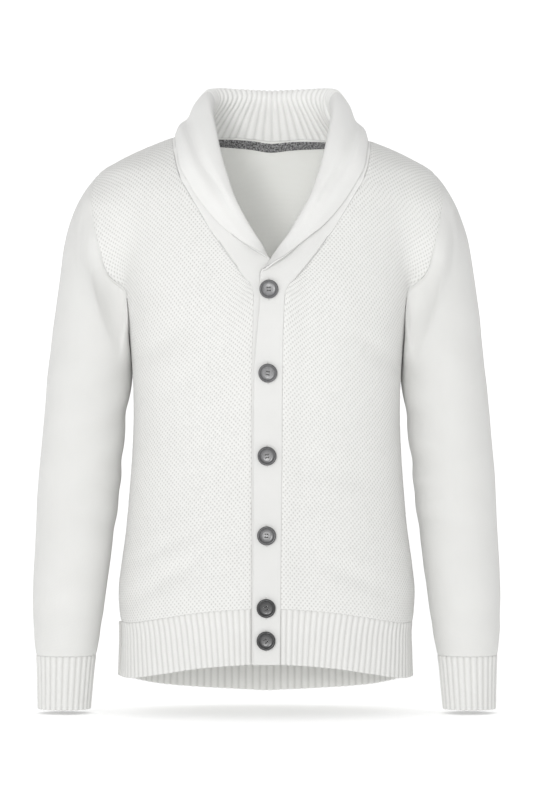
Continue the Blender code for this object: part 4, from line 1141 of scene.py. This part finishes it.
def ribbed(middle_grid, normals, ribs_at, edge, wall, sewn):
    """Outer and inner faces of ribbed cloth about its plain outer face."""
    ridge = rib_relief(ribs_at)[None, :]
    stitch = RIB_STITCH_DEPTH * np.cos(2 * math.pi * sewn[1])
    outside = -GROOVE_DEEP + (RIDGE_PROUD + GROOVE_DEEP) * ridge + stitch * ridge
    inside = -wall + 0.9 * GROOVE_DEEP * (ridge - 1) + 0.5
    middle = (outside + inside) / 2
    full = fullness(edge)
    dip = seam_dip(sewn[0])
    outer = middle_grid + normals * (middle + (outside - middle) * full - dip)[..., None]
    inner = middle_grid + normals * (middle + (inside - middle) * full)[..., None]
    return outer, inner


def make_hem(name, start, end, ribs, side, lean):
    stops = edge_stops(HEM_HEIGHT, 1.5, False, True)
    shares = np.linspace(0, 1, ribs * POINTS_PER_RIB + 1)
    rows = []
    for down in stops / HEM_HEIGHT:
        leaned = shares - lean * down * np.sin(math.pi * shares)
        rows.append(hem_point(even_angles(start, end, leaned, down), down))
    grid = np.array(rows)
    normals = unit(slope_of(torso_field, grid))
    below, above = (HEM_HEIGHT - stops)[:, None], stops[:, None]
    bumps = 0.4 * ripple(grid, 3 if side else 5) * ease(above / 20)
    grid = grid + normals * (lap_level(grid, side) + bumps)[..., None]
    at = shares * ribs
    ridge = rib_relief(at)[None, :]
    grid[..., 2] -= 0.7 * (ridge - 0.5) * ease(1 - below / 6)
    across = np.minimum(lengths(grid), lengths(grid)[:, -1:] - lengths(grid))
    sewn = np.minimum(across, above)
    sewn = (sewn, above / RIB_STITCH[1])
    outer, inner = ribbed(grid, normals, at, below + 0 * ridge, BODY_WALL, sewn)
    uv = np.stack([at[None, :] + 0 * above, above / RIB_STITCH[1] + 0 * ridge], axis=-1)
    return shell(name, outer, inner, uv, uv, [LOOK["rib"], LOOK["rib_inside"]])


def make_cuff(name, side):
    tall = CUFF_TOP_Z - CUFF_BOTTOM_Z
    stops = edge_stops(tall, 1.5, False, True)
    cols = RIBS_CUFF * POINTS_PER_RIB
    at = np.arange(cols) / POINTS_PER_RIB
    z = np.broadcast_to((CUFF_TOP_Z - stops)[:, None], (len(stops), cols))
    turns = np.broadcast_to(0.5 + at / RIBS_CUFF, z.shape)
    grid = arm_surface(turns, z, side)
    normals = side * grid_normals(grid, wrap=True)
    above, below = stops[:, None], (tall - stops)[:, None]
    ridge = rib_relief(at)[None, :]
    grid[..., 2] -= 0.6 * (ridge - 0.5) * ease(1 - below / 6)
    sewn = (above + 0 * ridge, above / RIB_STITCH[1])
    outer, inner = ribbed(grid, normals, at, below + 0 * ridge, BODY_WALL, sewn)
    spots = np.arange(cols + 1) / POINTS_PER_RIB
    uv = np.stack([spots[None, :] + 0 * above, above / RIB_STITCH[1] + 0 * spots[None, :]], axis=-1)
    return shell(name, outer, inner, uv, uv, [LOOK["rib"], LOOK["rib_inside"]], wrap=True)


# ---------------------------------------------------------------- sleeves
def arm_surface(turn, z, side):
    top = ARM[0][0]
    low = np.minimum(z, top)
    dome = np.sqrt(np.clip(1 - (np.maximum(z - top, 0) / ARM_DOME_RISE) ** 2, 0.02, 1))
    a = 2 * math.pi * turn
    x = arm("x", low) + arm("half_width", low) * dome * np.cos(a)
    y = arm("y", low) - arm("half_depth", low) * dome * np.sin(a)
    return np.stack([side * x, y, z + 0 * x], axis=-1)


def crease_depth(turn, z):
    """How far the creases draw the sleeve in at a turn and height."""
    total = np.zeros(np.broadcast(turn, z).shape)
    for height, centre, half_height, half_turn, slant, depth in SLEEVE_CREASES:
        across = (turn - centre + 0.5) % 1.0 - 0.5
        along = (z - height - slant * across) / half_height
        total += depth * np.exp(-along**2) * np.exp(-((across / half_turn) ** 2))
    return total


def armhole_edge(turns, side):
    """The armhole seam where the smoothed front and back reach it."""
    if (side, "front") not in SEAM_STOPS:
        SEAM_STOPS[side, "front"] = front_base(side)[:, -1]
        SEAM_STOPS[side, "back"] = back_base()[:, 0 if side > 0 else -1]
    front, back = SEAM_STOPS[side, "front"], SEAM_STOPS[side, "back"]
    turns = np.asarray(turns) % 1.0
    ahead = cubic(front, len(front) - 1 - 2 * SHOULDER_STATION * np.clip(turns, 0, 0.5))
    behind = cubic(back, len(back) - 1 - 20 * (1 - np.clip(turns, 0.5, 1)))
    return settle(form_field, np.where(turns[:, None] <= 0.5, ahead, behind), rounds=2)


def sleeve_start(turns, side):
    seam = armhole_edge(turns, side)
    ahead, behind = armhole(turns + 0.004, side), armhole(turns - 0.004, side)
    normal = out_of_form(seam)
    away = unit(np.cross(ahead - behind, normal)) * side
    backwards = away[..., 0] * side * np.cos(2 * math.pi * turns) - away[..., 2] < 0
    away *= np.where(backwards, -1, 1)[..., None]
    return seam, away


def sleeve_grid(side, turns, upper, lower):
    start, away = sleeve_start(turns, side)
    join_z = start[..., 2] - 90 - 15 * np.cos(2 * math.pi * turns)
    end = arm_surface(turns, join_z, side)
    down = unit(arm_surface(turns, join_z - 4, side) - end)
    reach = np.linalg.norm(end - start, axis=-1, keepdims=True)
    along = (0.5 + 0.5 * np.cos(2 * math.pi * turns))[..., None]
    leave = unit(away * (0.25 + along) + unit(end - start) * (1 - along))
    rows = []
    for t in np.concatenate([[0.0, 0.008, 0.018], np.arange(1, upper) / upper]):
        rows.append(
            start * (1 + 2 * t) * (1 - t) ** 2
            + leave * reach * t * (1 - t) ** 2
            + end * t * t * (3 - 2 * t)
            + down * reach * t * t * (t - 1)
        )
    for t in np.concatenate([np.arange(lower) / lower, [1 - 0.35 / lower, 1.0]]):
        rows.append(arm_surface(turns, join_z + (CUFF_TOP_Z - join_z) * t, side))
    grid = np.array(rows)
    fallen = start[..., 2] - grid[..., 2]
    centre = np.stack([side * arm("x", grid[..., 2]), arm("y", grid[..., 2]), grid[..., 2]], axis=-1)
    soft = ease(fallen / 60) * ease((grid[..., 2] - CUFF_TOP_Z) / 20)
    grid += (soft * crease_depth(turns, grid[..., 2]))[..., None] * unit(centre - grid)
    free = ease(climbs(grid) / 14)
    for _ in range(6):
        slope = slope_of(torso_field, grid)
        slope[..., 2] = 0
        short = free * np.maximum(SLEEVE_CLEAR - torso_field(grid), 0) * (grid[..., 2] < -150)
        grid = grid + (short / np.maximum((slope * slope).sum(-1), 0.2))[..., None] * slope
    return smoothed(grid, 8)


def smoothed(grid, rounds):
    """The grid of a tube evened out a little, its first and last rows as they were."""
    for _ in range(rounds):
        around = (np.roll(grid, 1, axis=1) + np.roll(grid, -1, axis=1)) / 2
        along = (grid[:-2] + grid[2:]) / 2
        grid[3:-3] = grid[3:-3] / 2 + around[3:-3] / 4 + along[2:-2] / 4
    return grid


def grid_normals(grid, wrap=False):
    down = np.gradient(grid, axis=0)
    if wrap:
        across = np.roll(grid, -1, axis=1) - np.roll(grid, 1, axis=1)
    else:
        across = np.gradient(grid, axis=1)
    return unit(np.cross(across, down))


def make_sleeve(name, side):
    cols, upper, lower = SLEEVE_GRID
    turns = 0.5 + np.arange(cols) / cols
    grid = sleeve_grid(side, turns, upper, lower)
    normals = side * grid_normals(grid, wrap=True)
    up = climbs(grid)
    edge = np.minimum(up, up[-1:] - up)
    closed = np.concatenate([grid, grid[:, :1]], axis=1)
    across = lengths(closed)[:, :-1]
    under = np.minimum(across, lengths(closed)[:, -1:] - across)
    bumpy = ripple(grid, 7 + side) * ease(edge / 30)
    lift = bumpy - seam_dip(edge) - 0.7 * seam_dip(under)
    outer = grid + normals * lift[..., None]
    uv = knit_uv(closed, PLAIN_STITCH, 0.5)
    keep = np.ix_(thinned(grid.shape[0], SLEEVE_INSIDE_ROWS), np.arange(0, cols, 4))
    inner = (grid + normals * (bumpy - BODY_WALL)[..., None])[keep]
    inner_uv = knit_uv(np.concatenate([inner, inner[:, :1]], axis=1), PLAIN_STITCH, 0.5)
    return shell(name, outer, inner, uv, inner_uv, [LOOK["plain"], LOOK["inside"]], wrap=True)


# ---------------------------------------------------------------- bands and collar
def collar_section(station, side, steps=10):
    """Middle surface of the collar at one station: from the seam, over the roll, to the free edge."""
    def point(which):
        z = float(collar(which + "_z", station))
        x = side * float(collar(which + "_x", station)) + float(shift_x("x", z))
        return np.array([x, float(collar(which + "_y", station)), z])

    lap = LAP_RISE * float(ease((6.0 - station) / 5.0)) if side > 0 else 0.0
    turn_over = 1.0 if side > 0 else float(ease((station - UNDER_FALL_FROM) / 2.6))
    sewn = neck_seam(station, side)
    seam = sewn + out_of_form(sewn) * (lap - BAND_WALL / 2)
    roll, edge = point("roll"), point("edge")
    near = float(ease((5.5 - station) / 2.0))
    flat_roll = settle(form_field, roll, lap - BAND_WALL / 2)
    roll = roll * (1 - near) + flat_roll * near
    edge = roll + (edge - roll) * turn_over
    rest = settle(form_field, edge, max(lap, 0) + FALL_CLEAR)
    edge = edge + (rest - edge) * turn_over * float(ease((station - 1.5) / 1.5))
    middle = (seam + roll) / 2
    hugged = settle(form_field, middle, lap - BAND_WALL / 2)
    middle += (hugged - middle) * float(collar("hug", station))
    reach = np.linalg.norm(edge - roll)
    if turn_over == 0 or reach < 0.5:
        return through(np.array([seam, middle, roll]), steps * 3)
    along = (edge - roll) / reach
    out = slope_of(form_field, (roll + edge) / 2)
    out = unit(out - along * (out @ along))
    fold = float(collar("crease_at", station))

    def off(share, height):
        return roll + along * reach * share + out * turn_over * float(collar(height, station))

    shaped = [
        off(-0.05, "crest"), off(fold * 0.5, "bulge"), off(fold, "crease"), off((1 + fold) / 2, "fall"),
    ]
    return through(np.array([seam, middle, roll, *shaped, edge]), steps)


def band_section(z, side):
    x = side * np.linspace(float(band("seam", z)), float(band("edge", z)), 9) + float(shift_x("x", z))
    p = np.stack([x, front_y(x, z), np.full(9, float(z))], axis=-1)
    lap = LAP_RISE if side > 0 else 0.0
    return settle(form_field, p, lap - BAND_WALL / 2, rounds=4)


def strip(sections, pitch, across_pitch, rounded):
    """A dense grid through cross-sections, with close columns at its rounded edges."""
    coarse = np.array([spread(line, 40) for line in sections])
    rows_at = even_rows(coarse, pitch)
    rows = cubic(coarse, rows_at)
    length = lengths(rows)[:, -1]
    model = edge_stops(float(length.max()), across_pitch, *rounded)
    share = model / model[-1]
    near_start = [s * EDGE_ROUND for s in ROUND_STOPS] if rounded[0] else []
    near_end = [s * EDGE_ROUND for s in ROUND_STOPS] if rounded[1] else []
    grid, edges = [], []
    for line, total in zip(rows, length):
        at = share * total
        if near_start:
            at[:len(near_start)] = near_start
        if near_end:
            at[-len(near_end):] = total - np.array(near_end)[::-1]
        grid.append(resampled(line, at))
        edges.append(at)
    return np.array(grid), np.array(edges), length


def make_band(name, side):
    heights = np.linspace(BAND[0][0], BAND[-1][0], 24)
    stations = np.arange(27) * COLLAR_JOINT / 25
    sections = [band_section(z, side) for z in heights] + [collar_section(s, side) for s in stations]
    grid, at, total = strip(sections, 2.0, 1.5, (True, True))
    normals = side * grid_normals(grid)
    joint = joint_row(grid, side)
    grid, normals, at, total = grid[:joint], normals[:joint], at[:joint], total[:joint]
    up = climbs(grid)
    edge = np.minimum(np.minimum(at, total[:, None] - at), up)
    half = BAND_WALL / 2 * fullness(edge)
    soft = ripple(grid, 21 + side)[..., None] * ease((grid[..., 2:] + 230) / 90) * normals * 0.8
    outer = grid + soft - normals * half[..., None]
    inner = grid + soft + normals * half[..., None]
    uv = np.stack([at / PLAIN_STITCH[0], up / PLAIN_STITCH[1]], axis=-1)
    return shell(name, outer, inner, uv, uv, [LOOK["band"], LOOK["band"]])


def joint_row(grid, side):
    """Rows up to the shoulder, where the plain shawl meets the ribbed collar."""
    line = neck_seam(COLLAR_JOINT, side)
    gap = np.linalg.norm(grid[:, 0] - line, axis=-1)
    tail = len(grid) - 30
    return tail + int(np.argmin(gap[tail:])) + 1


def make_back_collar(name):
    middle = len(COLLAR) - 1
    one_side = np.linspace(COLLAR_JOINT - 0.5, middle, 19)
    stations = np.concatenate([one_side, np.linspace(middle, COLLAR_JOINT - 0.5, 19)[1:]])
    lines = []
    for number, s in enumerate(stations):
        lines.append(spread(collar_section(s, 1 if number < 19 else -1), 64))
    coarse = np.array(lines)
    step = 18 / (middle - COLLAR_JOINT + 0.5)
    start, end = 0.5 * step, 36 - 0.5 * step
    cols = RIBS_COLLAR * POINTS_PER_RIB
    cols_at = np.linspace(start, end, cols + 1)
    beyond = [2 * cols_at[0] - cols_at[1]], [2 * cols_at[-1] - cols_at[-2]]
    dense = cubic(coarse, np.concatenate([beyond[0], cols_at, beyond[1]]))
    longest = lengths(dense)[:, -1]
    rows = []
    model = edge_stops(float(longest.mean()), 1.6, False, True)
    for line, total in zip(dense, longest):
        at = model / model[-1] * total
        at[-len(ROUND_STOPS):] = total - np.array(ROUND_STOPS)[::-1] * EDGE_ROUND
        rows.append(resampled(line, at))
    grid = np.array(rows).swapaxes(0, 1)
    normals = -grid_normals(grid)[:, 1:-1]
    grid = grid[:, 1:-1]
    at = np.linspace(0, RIBS_COLLAR, cols + 1)
    ridge = rib_relief(at)[None, :]
    down = climbs(grid)
    below = down[-1:] - down
    stitch = RIB_STITCH_DEPTH * np.cos(2 * math.pi * down / RIB_STITCH[1]) * ridge
    outside = BAND_WALL / 2 - GROOVE_DEEP + (RIDGE_PROUD + GROOVE_DEEP) * ridge + stitch
    full = fullness(below)
    outer = grid + normals * (outside * full)[..., None]
    plain = grid - normals * (BAND_WALL / 2 * full)[..., None]
    uv = np.stack([at[None, :] + 0 * down, down / RIB_STITCH[1]], axis=-1)
    return shell(name, outer, plain, uv, uv, [LOOK["collar_rib"], LOOK["rib_inside"]])


# ---------------------------------------------------------------- buttons
def revolve(profile, spokes):
    """Rings of points round the middle for a profile of (radius, height)."""
    turn = 2 * math.pi * np.arange(spokes) / spokes
    x, y = np.cos(turn), np.sin(turn)
    return np.array([np.stack([r * x, r * y, np.full(spokes, h)], axis=1) for r, h in profile])


def button_mesh(name):
    """A four-hole button, its face dished inside a rounded rim, about its own middle."""
    r, t = BUTTON_RADIUS, BUTTON_THICK
    profile = [(r * share, t * height) for share, height in BUTTON_PROFILE]
    spokes = 64
    rings = revolve(profile[1:-1], spokes).reshape(-1, 3)
    verts = [tuple(v) for v in rings] + [(0, 0, profile[0][1]), (0, 0, profile[-1][1])]
    faces, count = [], len(profile) - 2
    for ring in range(count - 1):
        for k in range(spokes):
            n = (k + 1) % spokes
            low, high = ring * spokes, (ring + 1) * spokes
            faces.append((low + k, low + n, high + n, high + k))
    low, top = len(verts) - 2, len(verts) - 1
    for k in range(spokes):
        n = (k + 1) % spokes
        faces.append((n, k, low))
        faces.append(((count - 1) * spokes + k, (count - 1) * spokes + n, top))
    mesh = bpy.data.meshes.new(name)
    mesh.from_pydata(verts, [], faces)
    mesh.update()
    disc = bpy.data.objects.new(name, mesh)
    bpy.context.scene.collection.objects.link(disc)
    spread_out, hole = BUTTON_HOLE_APART / 2, BUTTON_HOLE_RADIUS
    drills = bpy.data.meshes.new("drill")
    points, quads = [], []
    for cx in (-spread_out, spread_out):
        for cy in (-spread_out, spread_out):
            base = len(points)
            for h in (-2.0, t + 2):
                for k in range(16):
                    a = 2 * math.pi * k / 16
                    points.append((cx + hole * math.cos(a), cy + hole * math.sin(a), h))
            for k in range(16):
                n = (k + 1) % 16
                quads.append((base + k, base + n, base + 16 + n, base + 16 + k))
            quads.append(tuple(base + k for k in range(15, -1, -1)))
            quads.append(tuple(base + 16 + k for k in range(16)))
    drills.from_pydata(points, [], quads)
    drills.update()
    drill = bpy.data.objects.new("drill", drills)
    bpy.context.scene.collection.objects.link(drill)
    cut = disc.modifiers.new("holes", "BOOLEAN")
    cut.operation, cut.object, cut.solver = "DIFFERENCE", drill, "EXACT"
    graph = bpy.context.evaluated_depsgraph_get()
    holed = bpy.data.meshes.new_from_object(disc.evaluated_get(graph))
    bpy.data.objects.remove(disc)
    bpy.data.objects.remove(drill)
    return holed


def tube(line, radius, sides=6, closed=False):
    """Points and quads of a round cord along a line of points."""
    ahead = np.roll(line, -1, axis=0) - np.roll(line, 1, axis=0)
    if not closed:
        ahead[0], ahead[-1] = line[1] - line[0], line[-1] - line[-2]
    ahead = unit(ahead)
    other = np.where(np.abs(ahead[:, 2:3]) < 0.9, np.array([[0.0, 0, 1]]), np.array([[1.0, 0, 0]]))
    a = unit(np.cross(ahead, other))
    b = np.cross(ahead, a)
    turn = 2 * math.pi * np.arange(sides) / sides
    ring = a[:, None] * np.cos(turn)[None, :, None] + b[:, None] * np.sin(turn)[None, :, None]
    points = (line[:, None] + radius * ring).reshape(-1, 3)
    n = len(line)
    faces = []
    for i in range(n if closed else n - 1):
        for k in range(sides):
            m = (k + 1) % sides
            j = (i + 1) % n
            faces.append((i * sides + k, i * sides + m, j * sides + m, j * sides + k))
    if not closed:
        faces.append(tuple(range(sides - 1, -1, -1)))
        faces.append(tuple((n - 1) * sides + k for k in range(sides)))
    return points, faces


def placed(foot, across, up, out, points):
    return foot + points[..., :1] * across + points[..., 1:2] * up + points[..., 2:3] * out


def make_button(name, number, z, x):
    low, high = band_section(z - 8, 1), band_section(z + 8, 1)
    foot = np.array([x, np.interp(x, *zip(*sorted((p[0], p[1]) for p in (low + high) / 2))), z])
    out = out_of_form(foot)
    foot = foot + out * (BAND_WALL / 2 + BUTTON_LIFT)
    across = unit(np.cross(np.array([0.0, 0, 1]), out))
    up = np.cross(out, across)
    turn = math.radians(BUTTON_TURNS[number - 1])
    across, up = (
        across * math.cos(turn) + up * math.sin(turn),
        up * math.cos(turn) - across * math.sin(turn),
    )
    mesh = button_mesh(name)
    local = np.array([v.co[:] for v in mesh.vertices])
    mesh.vertices.foreach_set("co", (placed(foot, across, up, out, local) * MM).astype(np.float32).ravel())
    corners = np.array([loop.vertex_index for loop in mesh.loops])
    layer = mesh.uv_layers.new(name="stitches")
    layer.uv.foreach_set("vector", (local[corners, :2] / BUTTON_RADIUS).astype(np.float32).ravel())
    mesh.materials.clear()
    mesh.name = name
    piece = shown(name, mesh, [button_look(number)])
    mesh.update()
    mesh.set_sharp_from_angle(angle=math.radians(BUTTON_SHARP))
    return piece, (foot, across, up, out)


# ---------------------------------------------------------------- putting it together
def cut_of(grid, wrap=False):
    """Width, length and area of a piece laid flat, in metres, from its grid of points."""
    if wrap:
        grid = np.concatenate([grid, grid[:, :1]], axis=1)
    across, up = lengths(grid)[:, -1], lengths(grid.swapaxes(0, 1))[:, -1]
    a, b = grid[1:, 1:] - grid[:-1, :-1], grid[1:, :-1] - grid[:-1, 1:]
    area = np.linalg.norm(np.cross(a, b), axis=-1).sum() / 2
    width, length = across.max() * MM, up.max() * MM
    return width, length, min(area * MM * MM, width * length)


def cut_of_sections(lines):
    """The flat cut of a piece known by lines across it."""
    return cut_of(np.array([spread(line, 24) for line in lines]))


def cut_of_hem(start, end, columns):
    downs, shares = np.linspace(0, 1, 6), np.linspace(0, 1, columns)
    return cut_of(np.array([hem_point(even_angles(start, end, shares, d), d) for d in downs]))


def cut_of_sleeve(side):
    cols, upper, lower = CUT_GRID
    return cut_of(sleeve_grid(side, 0.5 + np.arange(cols) / cols, upper, lower), True)


def cut_of_cuff(side):
    turns, z = np.meshgrid(np.arange(60) / 60, np.linspace(CUFF_TOP_Z, CUFF_BOTTOM_Z, 8))
    return cut_of(arm_surface(turns, z, side), True)


def settle_in(piece, node, cut=None):
    """Ties a piece to the body and hides the solid of its node; the flat cut is not used."""
    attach(piece, "root")
    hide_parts(node)


def joined(name, parts, look):
    """One mesh from several lists of points in millimetres and their faces."""
    points, faces, base = [], [], 0
    for more, quads in parts:
        points.append(more)
        faces += [tuple(base + k for k in face) for face in quads]
        base += len(more)
    mesh = bpy.data.meshes.new(name)
    mesh.from_pydata((np.concatenate(points) * MM).tolist(), [], faces)
    mesh.update()
    return shown(name, mesh, [look])


def button_thread(seat):
    """Two stitches of thread across the four holes."""
    foot, across, up, out = seat
    reach, top = BUTTON_HOLE_APART / 2, BUTTON_THICK * 0.56
    parts = []
    for row in (-reach, reach):
        t = np.linspace(0, math.pi, 11)
        for offset in (-0.28, 0.28):
            arch = (reach * np.cos(t), np.full(11, row + offset), top - 1.0 + 1.2 * np.sin(t))
            line = np.stack(arch, axis=1)
            parts.append(tube(placed(foot, across, up, out, line), 0.2))
    return parts


def buttonhole(seat):
    """The stitched rim of an upright buttonhole, its ends showing past the button."""
    foot, count = seat[0], 76
    turn = 2 * math.pi * np.arange(count) / count
    half = BUTTON_RADIUS + BUTTONHOLE_SHOWS
    x = foot[0] + 0.9 * np.sin(turn)
    height = foot[2] + half * np.cos(turn)
    base = np.stack([x, front_y(x, height), height], axis=1)
    base = settle(form_field, base, LAP_RISE + 0.12, rounds=4)
    stitch = 1 + 0.22 * np.cos(19 * turn)
    points, faces = tube(base, 0.62, 6, closed=True)
    centres = np.repeat(base, 6, axis=0)
    return [(centres + (points - centres) * np.repeat(stitch, 6)[:, None], faces)]


def make_stage():
    """A seamless sweep: a pale floor just under the cuffs that curves up far behind."""
    turn = np.linspace(0, math.pi / 2, 17)
    y, z = SWEEP_BEND + SWEEP_RADIUS * np.sin(turn), FLOOR_Z + SWEEP_RADIUS * (1 - np.cos(turn))
    curve = np.stack([y, z], axis=1)
    line = np.vstack([[[SWEEP_FRONT, FLOOR_Z]], [[0.0, FLOOR_Z]], curve, [[curve[-1, 0], SWEEP_TOP]]])
    across = np.linspace(-SWEEP_HALF_WIDTH, SWEEP_HALF_WIDTH, 9)
    points = [(x, y, z) for y, z in line for x in across]
    faces, wide = [], len(across)
    for i in range(len(line) - 1):
        for k in range(wide - 1):
            a = i * wide + k
            faces.append((a, a + 1, a + wide + 1, a + wide))
    mesh = bpy.data.meshes.new("stage_sweep")
    mesh.from_pydata(points, [], faces)
    mesh.update()
    shown("stage_sweep", mesh, [stage_look("stage_paper")])


def make_world():
    """Even white light from all round."""
    world = bpy.data.worlds.new("studio")
    bpy.context.scene.world = world
    world.use_nodes = True
    sky = world.node_tree.nodes["Background"]
    sky.inputs["Color"].default_value = (1, 1, 1, 1)
    sky.inputs["Strength"].default_value = WORLD_STRENGTH


def make_light(name, place, aim, size, power):
    data = bpy.data.lights.new(name, "AREA")
    data.shape, data.size, data.energy = "SQUARE", size, power
    lamp = bpy.data.objects.new(name, data)
    way = np.array(aim, float) - np.array(place, float)
    lamp.location = place
    lamp.rotation_euler = Vector(way).to_track_quat("-Z", "Y").to_euler()
    bpy.context.scene.collection.objects.link(lamp)


def make_camera():
    """The photograph's level view: 1.25 mm a pixel at the middle of the garment's depth."""
    data = bpy.data.cameras.new("camera")
    data.sensor_fit, data.sensor_height, data.lens = "VERTICAL", 36.0, 180.0
    data.clip_end = 60.0
    camera = bpy.data.objects.new("camera", data)
    camera.location = CAMERA_PLACE
    camera.rotation_euler = (math.pi / 2, 0.0, 0.0)
    bpy.context.scene.collection.objects.link(camera)
    bpy.context.scene.camera = camera


make_camera()
make_stage()
make_world()
for lamp in LIGHTS:
    make_light(*lamp)
bpy.context.scene.view_settings.view_transform = "Standard"

for word, side in (("left", 1), ("right", -1)):
    piece = make_front("cloth_front_" + word, side)
    settle_in(piece, "front_" + word, cut_of(front_base(side)))
    piece = make_sleeve("cloth_sleeve_" + word, side)
    settle_in(piece, "sleeve_" + word, cut_of_sleeve(side))
    piece = make_cuff("cloth_cuff_" + word, side)
    settle_in(piece, "cuff_" + word, cut_of_cuff(side))
    piece = make_band("cloth_band_" + word, side)
    lines = [band_section(z, side) for z in np.linspace(BAND[0][0], BAND[-1][0], 12)]
    lines += [collar_section(s, side) for s in np.linspace(0, COLLAR_JOINT, 14)]
    settle_in(piece, "band_" + word, cut_of_sections(lines))
    low_seam = float(angle_of(band_seam(np.array(HEM_SEAM_Z), side)))
    piece = make_hem("cloth_hem_" + word, low_seam, side * math.pi / 2, RIBS_FRONT, side, RIB_LEAN)
    settle_in(piece, "hem_" + word, cut_of_hem(low_seam, side * math.pi / 2, 40))

piece = make_back("cloth_back")
settle_in(piece, "back", cut_of(back_base()))
piece = make_hem("cloth_hem_back", math.pi / 2, 1.5 * math.pi, RIBS_BACK, 0, 0.0)
settle_in(piece, "hem_back", cut_of_hem(math.pi / 2, 1.5 * math.pi, 60))
piece = make_back_collar("cloth_collar_back")
span = np.linspace(COLLAR_JOINT, len(COLLAR) - 1, 12)
lines = [collar_section(s, 1) for s in span] + [collar_section(s, -1) for s in span[::-1][1:]]
settle_in(piece, "collar_back", cut_of_sections(lines))
piece = make_tape("cloth_neck_tape")
tape_cut = (TAPE_LENGTH * MM, TAPE_HEIGHT * MM, TAPE_LENGTH * TAPE_HEIGHT * MM * MM)
settle_in(piece, "neck_tape", tape_cut)

threads, holes = [], []
for number, (z, x) in enumerate(BUTTONS, 1):
    piece, seat = make_button("horn_button_%d" % number, number, z, x)
    settle_in(piece, "button_%d" % number)
    threads += button_thread(seat)
    holes += buttonhole(seat)
piece = joined("button_threads", threads, cloth_thread_look("button_thread", THREAD_TONE))
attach(piece, "root")
piece = joined("buttonholes", holes, cloth_thread_look("buttonhole_thread", HOLE_TONE))
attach(piece, "root")
